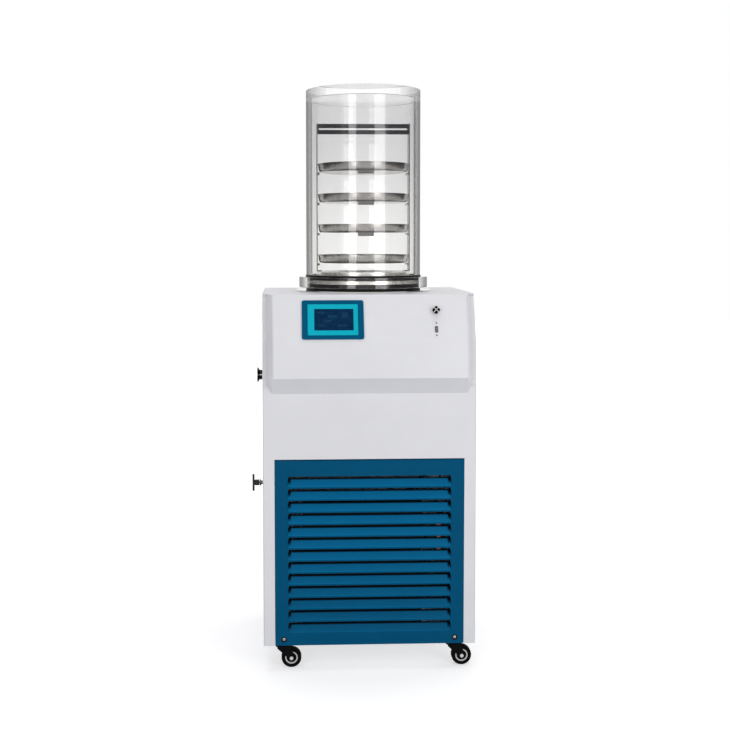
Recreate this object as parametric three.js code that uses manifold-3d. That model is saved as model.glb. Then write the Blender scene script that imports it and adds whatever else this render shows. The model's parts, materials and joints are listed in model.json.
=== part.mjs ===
// Floor-standing laboratory freeze dryer: a sheet-metal cabinet on four swivel casters holds the cold
// trap and its refrigeration set; a clear drum with a rack of four trays stands over the trap.
// Millimetres, +Z up, the front faces -Y. The cabinet is laid out from its own front plane (y = 0)
// and centre line (x = 0); the finished group is then moved to centre its footprint on the origin.

import * as THREE from "three";
import { ConvexGeometry } from "three/addons/geometries/ConvexGeometry.js";
import { mergeVertices } from "three/addons/utils/BufferGeometryUtils.js";
import Module from "manifold-3d";

// ---------------------------------------------------------------- driving dimensions
const GAP = 0.3; // left between pieces that touch
const SHEET = 1.5; // cabinet sheet

const CABINET = { halfWidth: 262.5, depth: 446, bottom: 66, top: 936 };
const PROFILE = { foot: 694, edge: 736.5, bend: 821, bendBack: 8, topBack: 54 }; // leaning upper front
const CONSOLE = {
  reach: 47,
  baseHalf: 252,
  faceHalf: 239.5,
  topFlare: 2,
  round: 7,
  cornerRise: 24,
  cornerIn: 12,
  wall: 2,
};
const LOUVRE_PANEL = { half: 233, bottom: 67.5, top: 531, lip: 12, sheet: 1.2 };
const LOUVRE = {
  count: 13,
  pitch: 30.3,
  topZ: 485,
  half: 202,
  slot: 6,
  height: 26,
  depth: 10,
  round: 9,
  draft: 7,
};
const SCREEN = { x: -91, down: 65, width: 150, height: 99, round: 5, proud: 3.5 };
const GLASS = { width: 122, height: 79 };
const CONTROLS = { x: 160, knobDown: 43.5, knobRadius: 9, usbDown: 90 };

const TRAP = { x: 0, y: 250, inner: 118, wall: 2, floor: 677, brim: 178, brimThick: 2.7 };
const COIL = { turns: 4, tube: 4.75, pitch: 40, start: 756, clear: 3.9, steps: 13, sides: 5 };
const JACKET = { bore: 135.5, outer: 164, bottom: 642, floor: 30 };
// The clear ring's foot stands on the seal's step; the seal, the rack's rim and the gasket fill its bore.
const SEAL = { inner: 128, outer: 147.7, height: 6.5, step: 10, stepOuter: 150.6 };
const RING = { bore: 148, outer: 168.5, height: 30 };
const GASKET = { inner: 139, outer: 147.7, lip: 152, height: 4, body: 10.7 };
const DRUM = { outer: 150, wall: 8, height: 453, lid: 25 };
const RACK = {
  half: 122.5,
  strip: 2.5,
  depth: 34,
  base: 123,
  baseHeight: 11,
  rimOuter: 147,
  rimThick: 8.4,
  vapourHole: 66,
  top: 1373,
  barHeight: 27,
  slot: 4.6,
};
const TRAY = {
  top: 119.5,
  bottom: 116.5,
  height: 22,
  sheet: 1.2,
  corner: 5,
  count: 4,
  topZ: 1268,
  pitch: 79,
  tab: { half: 20, drop: 8, reach: 7 },
};
const LEDGE = { radius: 3.2, length: 50 };

const PORT = { y: 190, z: 720, tube: 13, bore: 11.5, flange: 19.5, reach: 17 };
const VALVE = { y: 150, z: 445, neck: 5, bonnet: 8.4, bar: 44, barThick: 5.4 };

const CASTER = { x: 214, inset: 42, plate: 50, wheel: 25, width: 20, trail: 20, axle: 4 };

const SHELF = { z: 636, lip: 25 };
const FAN = { x: -15, z: 262, hole: 122, blade: 116, hub: 30 };
const CONDENSER = { x0: -165, x1: 135, y0: 60, y1: 104, z0: 112, z1: 412 };
const COMPRESSOR = { x: -95, y: 335, radius: 88, height: 225 };
const INLET = { x: 150, z: 560 };

// Facets round each kind of revolved piece.
const SIDES = {
  drum: 36,
  trap: 34,
  tray: 24,
  duct: 24,
  port: 20,
  wheel: 16,
  fitting: 16,
  small: 12,
  pin: 8,
  pipe: 6,
};

// ---------------------------------------------------------------- finishes
const finish = (color, roughness, metalness, extra = {}) =>
  new THREE.MeshStandardMaterial({ color, roughness, metalness, ...extra });
const WHITE_PAINT = finish(0xdcdce1, 0.45, 0.1);
const BLUE_PAINT = finish(0x006088, 0.45, 0.1);
const STAINLESS = finish(0xb8b8b6, 0.25, 0.9);
const STEEL = finish(0x9a9c9e, 0.4, 0.8);
const ZINC = finish(0x8d9094, 0.5, 0.7);
const COPPER = finish(0xb87042, 0.35, 0.9);
const ALUMINIUM = finish(0xb4b8ba, 0.45, 0.8);
const BLACK_RUBBER = finish(0x141416, 0.7, 0);
const BLACK_PLASTIC = finish(0x1b1b1d, 0.5, 0);
const BLACK_PAINT = finish(0x17181a, 0.4, 0.2);
const TEAL_PLASTIC = finish(0x005a7d, 0.4, 0);
const DARK_GLASS = finish(0x12b6cd, 0.2, 0);
const CLEAR_ACRYLIC = finish(0xe4e8ea, 0.05, 0, { transparent: true, opacity: 0.3 });
const WHITE_FOAM = finish(0xe6ddc2, 0.9, 0);

// ---------------------------------------------------------------- solid modelling helpers
const wasm = await Module();
wasm.setup();

function solid(geometry) {
  const bare = geometry.clone();
  bare.deleteAttribute("normal");
  bare.deleteAttribute("uv");
  const merged = mergeVertices(bare, 1e-4);
  return new wasm.Manifold(
    new wasm.Mesh({
      numProp: 3,
      vertProperties: new Float32Array(merged.attributes.position.array),
      triVerts: new Uint32Array(merged.index.array),
    }),
  );
}

function geometryOf(manifold) {
  const { vertProperties, triVerts } = manifold.getMesh();
  const geometry = new THREE.BufferGeometry();
  geometry.setAttribute("position", new THREE.BufferAttribute(vertProperties, 3));
  geometry.setIndex(new THREE.BufferAttribute(triVerts, 1));
  const flat = geometry.toNonIndexed();
  flat.computeVertexNormals();
  return flat;
}

const join = (first, ...rest) => rest.reduce((sum, s) => sum.add(s), first);
const cut = (first, ...rest) => rest.reduce((left, s) => left.subtract(s), first);

const freezeDryer = new THREE.Group();

function place(name, shape, material, parent = freezeDryer) {
  const mesh = new THREE.Mesh(shape.isBufferGeometry ? shape : geometryOf(shape), material);
  mesh.name = name;
  parent.add(mesh);
  return mesh;
}

// A block between two opposite corners.
function block([x0, x1], [y0, y1], [z0, z1]) {
  const box = new THREE.BoxGeometry(x1 - x0, y1 - y0, z1 - z0);
  return solid(box.translate((x0 + x1) / 2, (y0 + y1) / 2, (z0 + z1) / 2));
}

// Turns a shape that stands along +Z so that it stands along the named axis, then moves it.
function stand(geometry, axis, [x, y, z]) {
  if (axis === "x") geometry.rotateY(Math.PI / 2);
  if (axis === "y") geometry.rotateX(-Math.PI / 2);
  return geometry.translate(x, y, z);
}

// A revolved solid: profile holds [radius, height] pairs; height runs along the named axis.
function turned(profile, sides, axis = "z", at = [0, 0, 0]) {
  const points = profile.map(([r, h]) => new THREE.Vector2(r, h));
  const lathe = new THREE.LatheGeometry(points, sides).rotateX(Math.PI / 2);
  return solid(stand(lathe, axis, at));
}

const rod = (radius, length, sides, axis, at) =>
  turned([[0, 0], [radius, 0], [radius, length], [0, length]], sides, axis, at);

// A closed ring of rectangular section.
const collar = (inner, outer, height, sides, axis, at) =>
  turned([[inner, 0], [outer, 0], [outer, height], [inner, height], [inner, 0]], sides, axis, at);

// A prism of the outline (pairs in the plane across the axis) along the named axis.
function prism(outline, length, axis = "z", at = [0, 0, 0]) {
  const polygon = (pairs) => new THREE.Shape(pairs.map(([u, v]) => new THREE.Vector2(u, v)));
  const shape = Array.isArray(outline) ? polygon(outline) : outline;
  const body = new THREE.ExtrudeGeometry(shape, { depth: length, bevelEnabled: false, curveSegments: 2 });
  if (axis === "x") body.applyMatrix4(AXES_YZ_TO_X);
  if (axis === "y") body.applyMatrix4(AXES_XZ_TO_Y);
  return solid(body.translate(...at));
}
// (u, v, depth) goes to (depth, u, v) for a prism along X, and to (u, -depth, v) for one along -Y.
const AXES_YZ_TO_X = new THREE.Matrix4().set(0, 0, 1, 0, 1, 0, 0, 0, 0, 1, 0, 0, 0, 0, 0, 1);
const AXES_XZ_TO_Y = new THREE.Matrix4().set(1, 0, 0, 0, 0, 0, -1, 0, 0, 1, 0, 0, 0, 0, 0, 1);

function roundedRectangle(width, height, radius) {
  const [w, h, shape] = [width / 2, height / 2, new THREE.Shape()];
  shape.moveTo(-w + radius, -h).lineTo(w - radius, -h);
  shape.absarc(w - radius, -h + radius, radius, -Math.PI / 2, 0);
  shape.absarc(w - radius, h - radius, radius, 0, Math.PI / 2);
  shape.absarc(-w + radius, h - radius, radius, Math.PI / 2, Math.PI);
  shape.absarc(-w + radius, -h + radius, radius, Math.PI, 1.5 * Math.PI);
  return shape;
}

const polar = (r, angle) => new THREE.Vector2(r * Math.cos(angle), r * Math.sin(angle));

// A round bar swept along a curve.
function along(path, radius, sides, steps) {
  const ring = Array.from({ length: sides }, (_, i) => polar(radius, (i / sides) * 2 * Math.PI));
  const section = new THREE.Shape(ring);
  return solid(new THREE.ExtrudeGeometry(section, { extrudePath: path, steps, bevelEnabled: false }));
}

// A bent pipe through the points, drawn as a solid bar.
function pipe(points, radius, steps) {
  const corners = points.map((p) => new THREE.Vector3(...p));
  return along(new THREE.CatmullRomCurve3(corners, false, "centripetal"), radius, SIDES.pipe, steps);
}

const hullOf = (points) => solid(new ConvexGeometry(points.map((p) => new THREE.Vector3(...p))));

// ---------------------------------------------------------------- the leaning upper front
// How far back the cabinet's front edge lies at height z.
function edgeBack(z) {
  const { edge, bend, bendBack, topBack } = PROFILE;
  if (z <= edge) return 0;
  if (z <= bend) return (bendBack * (z - edge)) / (bend - edge);
  return bendBack + ((topBack - bendBack) * (z - bend)) / (CABINET.top - bend);
}

// The instrument face: a group whose x runs right, y runs up the slope and z points out of the face.
const faceTop = [0, PROFILE.topBack - CONSOLE.reach, CABINET.top];
const faceLean = Math.atan2(PROFILE.topBack - PROFILE.bendBack, CABINET.top - PROFILE.bend);
const instrumentFace = new THREE.Group();
instrumentFace.position.set(...faceTop);
instrumentFace.rotation.x = Math.PI / 2 - faceLean;
freezeDryer.add(instrumentFace);
instrumentFace.updateMatrix();
// A solid drawn on the face, brought into the cabinet's frame to cut the console.
const onFace = (geometrySolid) => solid(geometryOf(geometrySolid).applyMatrix4(instrumentFace.matrix));

// ---------------------------------------------------------------- cabinet shell
function makeCabinet() {
  const { halfWidth, depth, bottom, top } = CABINET;
  const inside = halfWidth - SHEET - GAP;

  const sideOutline = [
    [0, bottom],
    [depth, bottom],
    [depth, top],
    [PROFILE.topBack, top],
    [PROFILE.bendBack, PROFILE.bend],
    [0, PROFILE.edge],
  ];
  const leftHoles = [
    rod(PORT.tube + 0.5, 20, SIDES.duct, "x", [-halfWidth - 5, PORT.y, PORT.z]),
    rod(VALVE.neck + 0.5, 20, SIDES.small, "x", [-halfWidth - 5, VALVE.y, VALVE.z]),
  ];
  // Each side sheet is folded in along the back, and along the leaning front edge beside the console.
  const folded = 14;
  const frontFold = [
    [0, PROFILE.foot + 20 + GAP],
    [0, PROFILE.edge],
    [PROFILE.bendBack, PROFILE.bend],
    [edgeBack(top - 6), top - 6],
    [edgeBack(top - 6) + SHEET + 0.1, top - 6],
    [PROFILE.bendBack + SHEET, PROFILE.bend],
    [SHEET, PROFILE.edge],
    [SHEET, PROFILE.foot + 20 + GAP],
  ];
  const folds = (x) => [
    prism(frontFold, folded, "x", [x, 0, 0]),
    block([x, x + folded], [depth - 14, depth - SHEET - GAP - 1.2], [bottom + 40, top - 40]),
  ];
  const leftSheet = cut(prism(sideOutline, SHEET, "x", [-halfWidth, 0, 0]), ...leftHoles);
  const rightSheet = prism(sideOutline, SHEET, "x", [halfWidth - SHEET, 0, 0]);
  place("left_side_panel", join(leftSheet, ...folds(-halfWidth + 0.2)), WHITE_PAINT);
  place("right_side_panel", join(rightSheet, ...folds(halfWidth - 0.2 - folded)), WHITE_PAINT);

  // The front sheet is an upside-down U: two stiles beside the louvre panel and a field above it.
  const opening = LOUVRE_PANEL.half + 1;
  const front = cut(
    block([-inside, inside], [0, SHEET], [bottom + 1, PROFILE.foot + 20]),
    block([-opening, opening], [-1, SHEET + 1], [bottom, LOUVRE_PANEL.top + 1]),
  );
  const stileReturn = (x0, x1) => block([x0, x1], [0.2, 15], [bottom + 3, LOUVRE_PANEL.top - 4]);
  place(
    "front_panel",
    join(front, stileReturn(-opening - SHEET, -opening), stileReturn(opening, opening + SHEET)),
    WHITE_PAINT,
  );

  place("back_panel", makeBackPanel(inside), WHITE_PAINT);
  place("top_cover", makeTopCover(inside), WHITE_PAINT);

  // The base pan carries the refrigeration set and the casters.
  const pan = [halfWidth - SHEET - GAP - 0.4, SHEET + 2.4, depth - SHEET - GAP - 1.2];
  const panFront = pan[1] + LOUVRE_PANEL.lip;
  place(
    "base_pan",
    cut(
      block([-pan[0], pan[0]], [panFront, pan[2]], [bottom, bottom + 36]),
      block([-pan[0] + 2, pan[0] - 2], [panFront + 2, pan[2] - 2], [bottom + 2, bottom + 40]),
      rod(9, 10, SIDES.small, "z", [DRAIN_X, VALVE.y, bottom - 4]),
    ),
    ZINC,
  );

  // A shelf across the cabinet under the cold trap, folded down along its front and back.
  const shelfHalf = inside - 14.6;
  const shelfBlock = block([-shelfHalf, shelfHalf], [50, depth - 20], [SHELF.z - SHELF.lip, SHELF.z]);
  const hollowZ = [SHELF.z - SHELF.lip - 1, SHELF.z - 2];
  const shelfHollow = block([-shelfHalf - 1, shelfHalf + 1], [52, depth - 22], hollowZ);
  const shelfPasses = [
    rod(14, 10, SIDES.small, "z", [TRAP.x, TRAP.y, SHELF.z - 5]),
    rod(12, 10, SIDES.small, "z", [SUCTION.x, SUCTION.y, SHELF.z - 5]),
    rod(9, 10, SIDES.small, "z", [LIQUID.x, LIQUID.y, SHELF.z - 5]),
  ];
  place("mid_shelf", cut(shelfBlock, shelfHollow, ...shelfPasses), ZINC);
}
const DRAIN_X = -226;
const SUCTION = { x: 190, y: 330 };
const LIQUID = { x: 190, y: 130 };

// The back sheet has two fields of air slots and the cut-out of the mains inlet.
function makeBackPanel(inside) {
  const { depth, bottom, top } = CABINET;
  const back = block([-inside, inside], [depth - SHEET, depth], [bottom + 1, top - SHEET - GAP]);
  const slotOutline = [[-95, 0], [-91, -4], [91, -4], [95, 0], [91, 4], [-91, 4]];
  const slot = prism(slotOutline, 10, "y", [0, depth + 4, 0]);
  const slots = [];
  for (const x of [-112, 112]) {
    for (let row = 0; row < 5; row += 1) slots.push(slot.translate([x, 0, 160 + row * 35.1]));
  }
  const hole = block([-24, 24], [depth - 5, depth + 5], [-31, 31]);
  return cut(back, ...slots, hole.translate([INLET.x, 0, INLET.z]));
}

// The top sheet is folded down all round, inside the side panels, and has the trap's hole.
function makeTopCover(inside) {
  const { depth, top } = CABINET;
  const [front, back, drop] = [PROFILE.topBack + 1, depth - SHEET - GAP, 18];
  const outer = block([-inside, inside], [front, back], [top - drop, top]);
  const within = inside - SHEET;
  const hollow = block([-within, within], [front + SHEET, back - SHEET], [top - drop - 1, top - SHEET]);
  const trapHole = rod(TRAP.inner + TRAP.wall + 1, 20, SIDES.trap, "z", [TRAP.x, TRAP.y, top - 10]);
  return cut(outer, hollow, trapHole);
}

// ---------------------------------------------------------------- console
// The console stands out from the leaning front by a constant reach, with drafted sides, a rounded
// edge round its face, cut lower corners and an underside that slopes back to the front sheet.
function consoleForm(shrink, backTo) {
  const { reach, baseHalf, faceHalf, topFlare, round, cornerRise, cornerIn } = CONSOLE;
  const { foot, edge, bend } = PROFILE;
  const topZ = CABINET.top - shrink;
  const levels = [edge + shrink * 0.6, bend, topZ];
  const points = [];
  const arc = [0, 1 / 3, 2 / 3, 1];
  for (const z of levels) {
    for (const t of arc) {
      const inset = round * (1 - Math.cos((t * Math.PI) / 2));
      const back = round * (1 - Math.sin((t * Math.PI) / 2));
      const x = faceHalf + (z > bend ? topFlare : 0) - shrink - inset;
      const y = edgeBack(z) - reach + shrink + back;
      points.push([x, y, z], [-x, y, z]);
    }
    for (const side of [-1, 1]) points.push([side * (baseHalf - shrink), edgeBack(z) + backTo, z]);
  }
  const low = foot + shrink * 1.4;
  for (const side of [-1, 1]) {
    points.push([side * (baseHalf - cornerIn - shrink), backTo, low]);
    points.push([side * (baseHalf - shrink), backTo, low + cornerRise]);
  }
  return hullOf(points);
}

function makeConsole() {
  const { wall } = CONSOLE;
  // The cover stops just clear of the leaning plane of the cabinet's front.
  const { foot, edge, bend, bendBack, topBack } = PROFILE;
  const [low, high] = [foot - 50, CABINET.top + 1];
  const frontPlane = [[0, low], [0, edge], [bendBack, bend], [topBack, high], [200, high], [200, low]];
  const behind = prism(frontPlane.reverse(), 600, "x", [-300, -GAP, 0]);
  const shell = cut(consoleForm(0, 0), consoleForm(wall, 40), behind);
  const screenHole = roundedRectangle(SCREEN.width - 16, SCREEN.height - 16, 4);
  const holes = [
    prism(screenHole, 40, "z", [SCREEN.x, -SCREEN.down, -20]),
    rod(5.6, 40, SIDES.small, "z", [CONTROLS.x, -CONTROLS.knobDown, -20]),
    prism(roundedRectangle(8.4, 16.4, 1), 40, "z", [CONTROLS.x, -CONTROLS.usbDown, -20]),
  ];
  place("console_cover", cut(shell, ...holes.map(onFace)), WHITE_PAINT);

  // Touchscreen: a moulded bezel over the cut-out, its housing behind, and the glass let into it.
  const layer = (width, height, round, z0, thick) =>
    prism(roundedRectangle(width, height, round), thick, "z", [SCREEN.x, -SCREEN.down, z0]);
  const bezel = layer(SCREEN.width, SCREEN.height, SCREEN.round, GAP, SCREEN.proud);
  const body = layer(SCREEN.width - 18, SCREEN.height - 18, 3, -29, 30);
  const recess = layer(GLASS.width + 0.6, GLASS.height + 0.6, 2.3, 1.7, 5);
  place("screen_bezel", cut(join(bezel, body), recess), TEAL_PLASTIC, instrumentFace);
  place("screen_glass", layer(GLASS.width, GLASS.height, 2, 2, 1.4), DARK_GLASS, instrumentFace);

  // Air-admittance needle valve: its bush passes the panel and its small four-lobed knob turns on it.
  const knobAt = [CONTROLS.x, -CONTROLS.knobDown];
  const bush = join(
    rod(5, 20, SIDES.pin, "z", [...knobAt, -16]),
    collar(4, 8, 5, 6, "z", [...knobAt, -wall - GAP - 5.2]),
    rod(8, 12, SIDES.pin, "z", [...knobAt, -28]),
    rod(2.5, 8, SIDES.pin, "z", [...knobAt, 3.9]),
  );
  place("vent_valve", bush, STAINLESS, instrumentFace);
  const knob = cut(fourLobedKnob(knobAt), rod(2.58, 9.2, SIDES.fitting, "z", [...knobAt, 3]));
  place("vent_knob", knob, BLACK_PLASTIC, instrumentFace);

  // Panel-mounted USB socket: a shell with the contact tongue inside.
  const usb = (w, h, z0, z1) => block([-w / 2, w / 2], [-h / 2, h / 2], [z0, z1]);
  const socket = join(
    cut(usb(7.6, 15.6, -14, 0.8), usb(5, 12.6, -9, 2)),
    cut(usb(12, 40, -wall - GAP - 2.4, -wall - GAP), usb(7, 15, -8, 2)),
    usb(2.1, 10.4, -10, -1).translate([-0.85, 0, 0]),
  );
  const usbAt = [CONTROLS.x, -CONTROLS.usbDown, 0];
  place("usb_socket", socket.translate(usbAt), BLACK_PLASTIC, instrumentFace);
}

// A knob of four lobes about a raised hub, seated just clear of the panel.
function fourLobedKnob([x, y]) {
  const outline = [];
  const steps = 24;
  for (let i = 0; i < steps; i += 1) {
    const angle = (i / steps) * 2 * Math.PI;
    const radius = CONTROLS.knobRadius - 1.9 + 1.9 * Math.cos(4 * angle);
    outline.push(polar(radius, angle).toArray());
  }
  const skirt = prism(outline, 7, "z", [x, y, 4.8]);
  return join(skirt, rod(3.6, 8.4, SIDES.small, "z", [x, y, 4.6]));
}

// ---------------------------------------------------------------- louvre panel
// One louvre, with its slot's top edge at height 0: the sheet is pressed inward to a blade that is
// flush at the foot and deepest at the head, with drafted ends and rounded upper corners.
function louvrePocket(grow) {
  const { half, slot, height, depth, round, draft } = LOUVRE;
  const points = [];
  const side = half + grow;
  for (const s of [-1, 1]) {
    points.push([s * side, 0, -height - grow]);
    for (let i = 0; i <= 2; i += 1) {
      const a = (i / 2) * (Math.PI / 2);
      points.push([s * (side - round * (1 - Math.cos(a))), 0, -round * (1 - Math.sin(a))]);
    }
    points.push([s * (side - draft), depth + grow, 0], [s * (side - draft), depth + grow, -slot]);
  }
  return hullOf(points);
}

function makeLouvrePanel() {
  const { half, bottom, top, lip, sheet } = LOUVRE_PANEL;
  const { count, pitch, topZ, slot, draft } = LOUVRE;
  const tray = cut(
    block([-half, half], [0, lip], [bottom, top]),
    block([-half + sheet, half - sheet], [sheet, lip + 1], [bottom + sheet, top - sheet]),
  );
  const pocket = louvrePocket(0);
  const through = block(
    [-LOUVRE.half + draft, LOUVRE.half - draft],
    [-1, lip + 4],
    [-slot, 0],
  );
  const blade = cut(louvrePocket(sheet), through);
  const heights = Array.from({ length: count }, (_, i) => topZ - i * pitch);
  const blades = heights.map((z) => blade.translate([0, 0.02, z]));
  const pockets = heights.flatMap((z) => [pocket.translate([0, -0.02, z]), through.translate([0, 0, z])]);
  // Each lower corner has a screw sunk in a round dimple.
  const screwAt = (s) => [s * (half - 21), 0, bottom + 15];
  const atScrews = (shape) => SCREW_SIDES.map((s) => shape.translate(screwAt(s)));
  const bosses = atScrews(rod(7.4, 2.6, SIDES.small, "y", [0, 1, 0]));
  const dimples = atScrews(rod(6, 2.9, SIDES.fitting, "y", [0, -0.5, 0]));
  const holes = atScrews(rod(2.4, 8, SIDES.pin, "y", [0, -1, 0]));
  const panel = cut(join(tray, ...bosses, ...blades), ...pockets, ...dimples, ...holes);
  place("louvre_panel", panel, BLUE_PAINT);

  const screw = join(
    turned([[0, 0], [3.4, 0.5], [4.3, 1.9], [0, 1.9]], SIDES.small, "y", [0, 0.3, 0]),
    rod(2.1, 9, SIDES.pin, "y", [0, 1.5, 0]),
  );
  for (const s of SCREW_SIDES) {
    const name = s < 0 ? "louvre_screw_left" : "louvre_screw_right";
    place(name, screw.translate(screwAt(s)), STEEL);
  }
}
const SCREW_SIDES = [-1, 1];

// ---------------------------------------------------------------- cold trap and drum
function makeTrap() {
  const { x, y, inner, wall, floor, brim, brimThick } = TRAP;
  const top = CABINET.top + GAP;
  const corner = 4;
  const pot = turned(
    [
      [0, floor - wall],
      [inner + wall - corner, floor - wall],
      [inner + wall, floor - wall + corner],
      [inner + wall, top],
      [brim, top],
      [brim, top + brimThick],
      [inner, top + brimThick],
      [inner, floor + corner],
      [inner - corner, floor],
      [0, floor],
    ],
    SIDES.trap,
    "z",
    [x, y, 0],
  );
  const portHole = rod(PORT.bore, 200, SIDES.small, "x", [-200, PORT.y, PORT.z]);
  const drainHole = rod(4, 20, SIDES.pin, "z", [x, y, floor - 10]);
  place("trap_pot", cut(pot, portHole, drainHole), STAINLESS);

  const radius = inner + wall + COIL.clear + COIL.tube;
  class Helix extends THREE.Curve {
    getPoint(t, target = new THREE.Vector3()) {
      const angle = t * COIL.turns * 2 * Math.PI;
      const height = COIL.start + t * COIL.turns * COIL.pitch;
      return target.set(x + radius * Math.cos(angle), y + radius * Math.sin(angle), height);
    }
  }
  place("evaporator_coil", along(new Helix(), COIL.tube, COIL.sides, COIL.turns * COIL.steps), COPPER);

  const { bore, outer, bottom, floor: foamFloor } = JACKET;
  const jacketTop = CABINET.top - SHEET - GAP - 1;
  const foam = turned(
    [
      [0, bottom],
      [outer, bottom],
      [outer, jacketTop],
      [bore, jacketTop],
      [bore, bottom + foamFloor],
      [0, bottom + foamFloor],
    ],
    SIDES.duct,
    "z",
    [x, y, 0],
  );
  const foamPasses = [
    rod(PORT.tube + 1.2, 160, SIDES.fitting, "x", [-240, PORT.y, PORT.z]),
    rod(7.5, 60, SIDES.pin, "z", [x, y, bottom - 10]),
    rod(7.5, 90, SIDES.pin, "x", [100, y + 20, SUCTION_TOP]),
    rod(6.5, 90, SIDES.pin, "x", [100, y - 20, LIQUID_TOP]),
  ];
  place("trap_insulation", cut(foam, ...foamPasses), WHITE_FOAM);
}
const SUCTION_TOP = 900;
const LIQUID_TOP = 770;

function makeDrum() {
  const at = (z) => [TRAP.x, TRAP.y, z];
  const sealZ = CABINET.top + GAP + TRAP.brimThick + GAP;
  const ringZ = sealZ + SEAL.height + GAP;
  const seal = turned(
    [
      [SEAL.inner, 0],
      [SEAL.stepOuter, 0],
      [SEAL.stepOuter, SEAL.height],
      [SEAL.outer, SEAL.height],
      [SEAL.outer, SEAL.height + SEAL.step],
      [SEAL.inner, SEAL.height + SEAL.step],
      [SEAL.inner, 0],
    ],
    SIDES.drum,
    "z",
    at(sealZ),
  );
  place("trap_seal", seal, BLACK_RUBBER);

  const ring = collar(RING.bore, RING.outer, RING.height, SIDES.drum, "z", at(ringZ));
  place("base_ring", ring, CLEAR_ACRYLIC);

  const gasketZ = ringZ + RING.height + GAP;
  const gasket = turned(
    [
      [GASKET.inner, -GASKET.body],
      [GASKET.outer, -GASKET.body],
      [GASKET.outer, 0],
      [GASKET.lip, 0],
      [GASKET.lip, GASKET.height],
      [GASKET.inner, GASKET.height],
      [GASKET.inner, -GASKET.body],
    ],
    SIDES.drum,
    "z",
    at(gasketZ),
  );
  place("drum_gasket", gasket, BLACK_RUBBER);

  const tubeZ = gasketZ + GASKET.height + GAP;
  const inner = DRUM.outer - DRUM.wall;
  place("drum_tube", collar(inner, DRUM.outer, DRUM.height, SIDES.drum, "z", at(tubeZ)), CLEAR_ACRYLIC);
  const lid = turned(
    [
      [0, 0],
      [DRUM.outer, 0],
      [DRUM.outer, DRUM.lid - 4],
      [DRUM.outer - 4, DRUM.lid],
      [0, DRUM.lid],
    ],
    SIDES.drum,
    "z",
    at(tubeZ + DRUM.height + GAP),
  );
  place("drum_lid", lid, CLEAR_ACRYLIC);
  makeRack(sealZ + SEAL.height + SEAL.step + GAP, gasketZ);
}

// ---------------------------------------------------------------- tray rack
function makeRack(restZ, rimZ) {
  const { half, strip, depth, base, baseHeight, vapourHole, top, barHeight, slot } = RACK;
  const { rimOuter, rimThick } = RACK;
  const [cx, cy] = [TRAP.x, TRAP.y];

  // The foot is spun from sheet: a raised plate with a large vapour hole, a skirt, and a flat rim
  // that rests on the trap's seal and has the drum's gasket over it.
  const plateTop = rimZ + baseHeight;
  const plate = turned(
    [
      [vapourHole, plateTop - 1.5],
      [base - 1.5, plateTop - 1.5],
      [base - 1.5, restZ],
      [rimOuter, restZ],
      [rimOuter, restZ + rimThick],
      [base, restZ + rimThick],
      [base, plateTop],
      [vapourHole, plateTop],
      [vapourHole, plateTop - 1.5],
    ],
    SIDES.trap,
    "z",
    [cx, cy, 0],
  );
  place("rack_base", plate, STAINLESS);

  const postFoot = plateTop + GAP;
  const tops = Array.from({ length: TRAY.count }, (_, i) => TRAY.topZ - i * TRAY.pitch);
  const ledgeZ = tops.map((z) => z - TRAY.height - GAP - LEDGE.radius);
  for (const side of [-1, 1]) {
    // A piece of the strip between its outer face and one that lies inward from it.
    const inward = (by, z0, z1) => {
      const xs = [cx + side * half, cx + side * (half - by)].sort((a, b) => a - b);
      return block(xs, [cy - depth / 2, cy + depth / 2], [z0, z1]);
    };
    const upright = inward(strip, postFoot, top);
    const foot = inward(14, postFoot, postFoot + 2);
    const ledges = ledgeZ.map((z) =>
      rod(LEDGE.radius, LEDGE.length, SIDES.pin, "y", [
        cx + side * (half - strip - LEDGE.radius + 0.4),
        cy - LEDGE.length / 2,
        z,
      ]),
    );
    place(side < 0 ? "rack_post_left" : "rack_post_right", join(upright, foot, ...ledges), STAINLESS);
  }

  // The cross-piece is a strip with a long grip slot, fixed between the posts.
  const barHalf = half - strip - GAP;
  const slotFoot = top - (barHeight + slot) / 2;
  const bar = cut(
    block([cx - barHalf, cx + barHalf], [cy - 3, cy + 3], [top - barHeight, top]),
    block([cx - barHalf + 3, cx + barHalf - 3], [cy - 5, cy + 5], [slotFoot, slotFoot + slot]),
  );
  place("rack_top_bar", bar, STAINLESS);

  // The lowest tray stands too near the foot plate for a finger tab.
  tops.forEach((z, i) => {
    const tray = makeTray([cx, cy, z - TRAY.height], i < TRAY.count - 1);
    place(`tray_${i + 1}`, tray, STAINLESS);
  });
}

// A pressed round tray: slightly conical wall and a rounded base corner. The finger tab is an angle
// strip under the front of the base, bent forward at its foot.
function makeTray(at, tabbed) {
  const { top, bottom, height, sheet, corner, tab } = TRAY;
  const slope = (z) => bottom + ((top - bottom) * z) / height;
  const profile = [
    [0, 0],
    [bottom - corner, 0],
    [slope(corner), corner],
    [top, height],
    [top - sheet, height],
    [slope(corner) - sheet, corner],
    [bottom - corner, sheet],
    [0, sheet],
  ];
  const dish = turned(profile, SIDES.tray, "z", at);
  if (!tabbed) return dish;
  const front = at[1] - bottom + corner + 1;
  const across = [at[0] - tab.half, at[0] + tab.half];
  const drop = block(across, [front, front + sheet], [at[2] - tab.drop, at[2] + sheet / 2]);
  const lip = block(across, [front - tab.reach, front + sheet], [at[2] - tab.drop - sheet, at[2] - tab.drop]);
  return join(dish, drop, lip);
}

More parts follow.
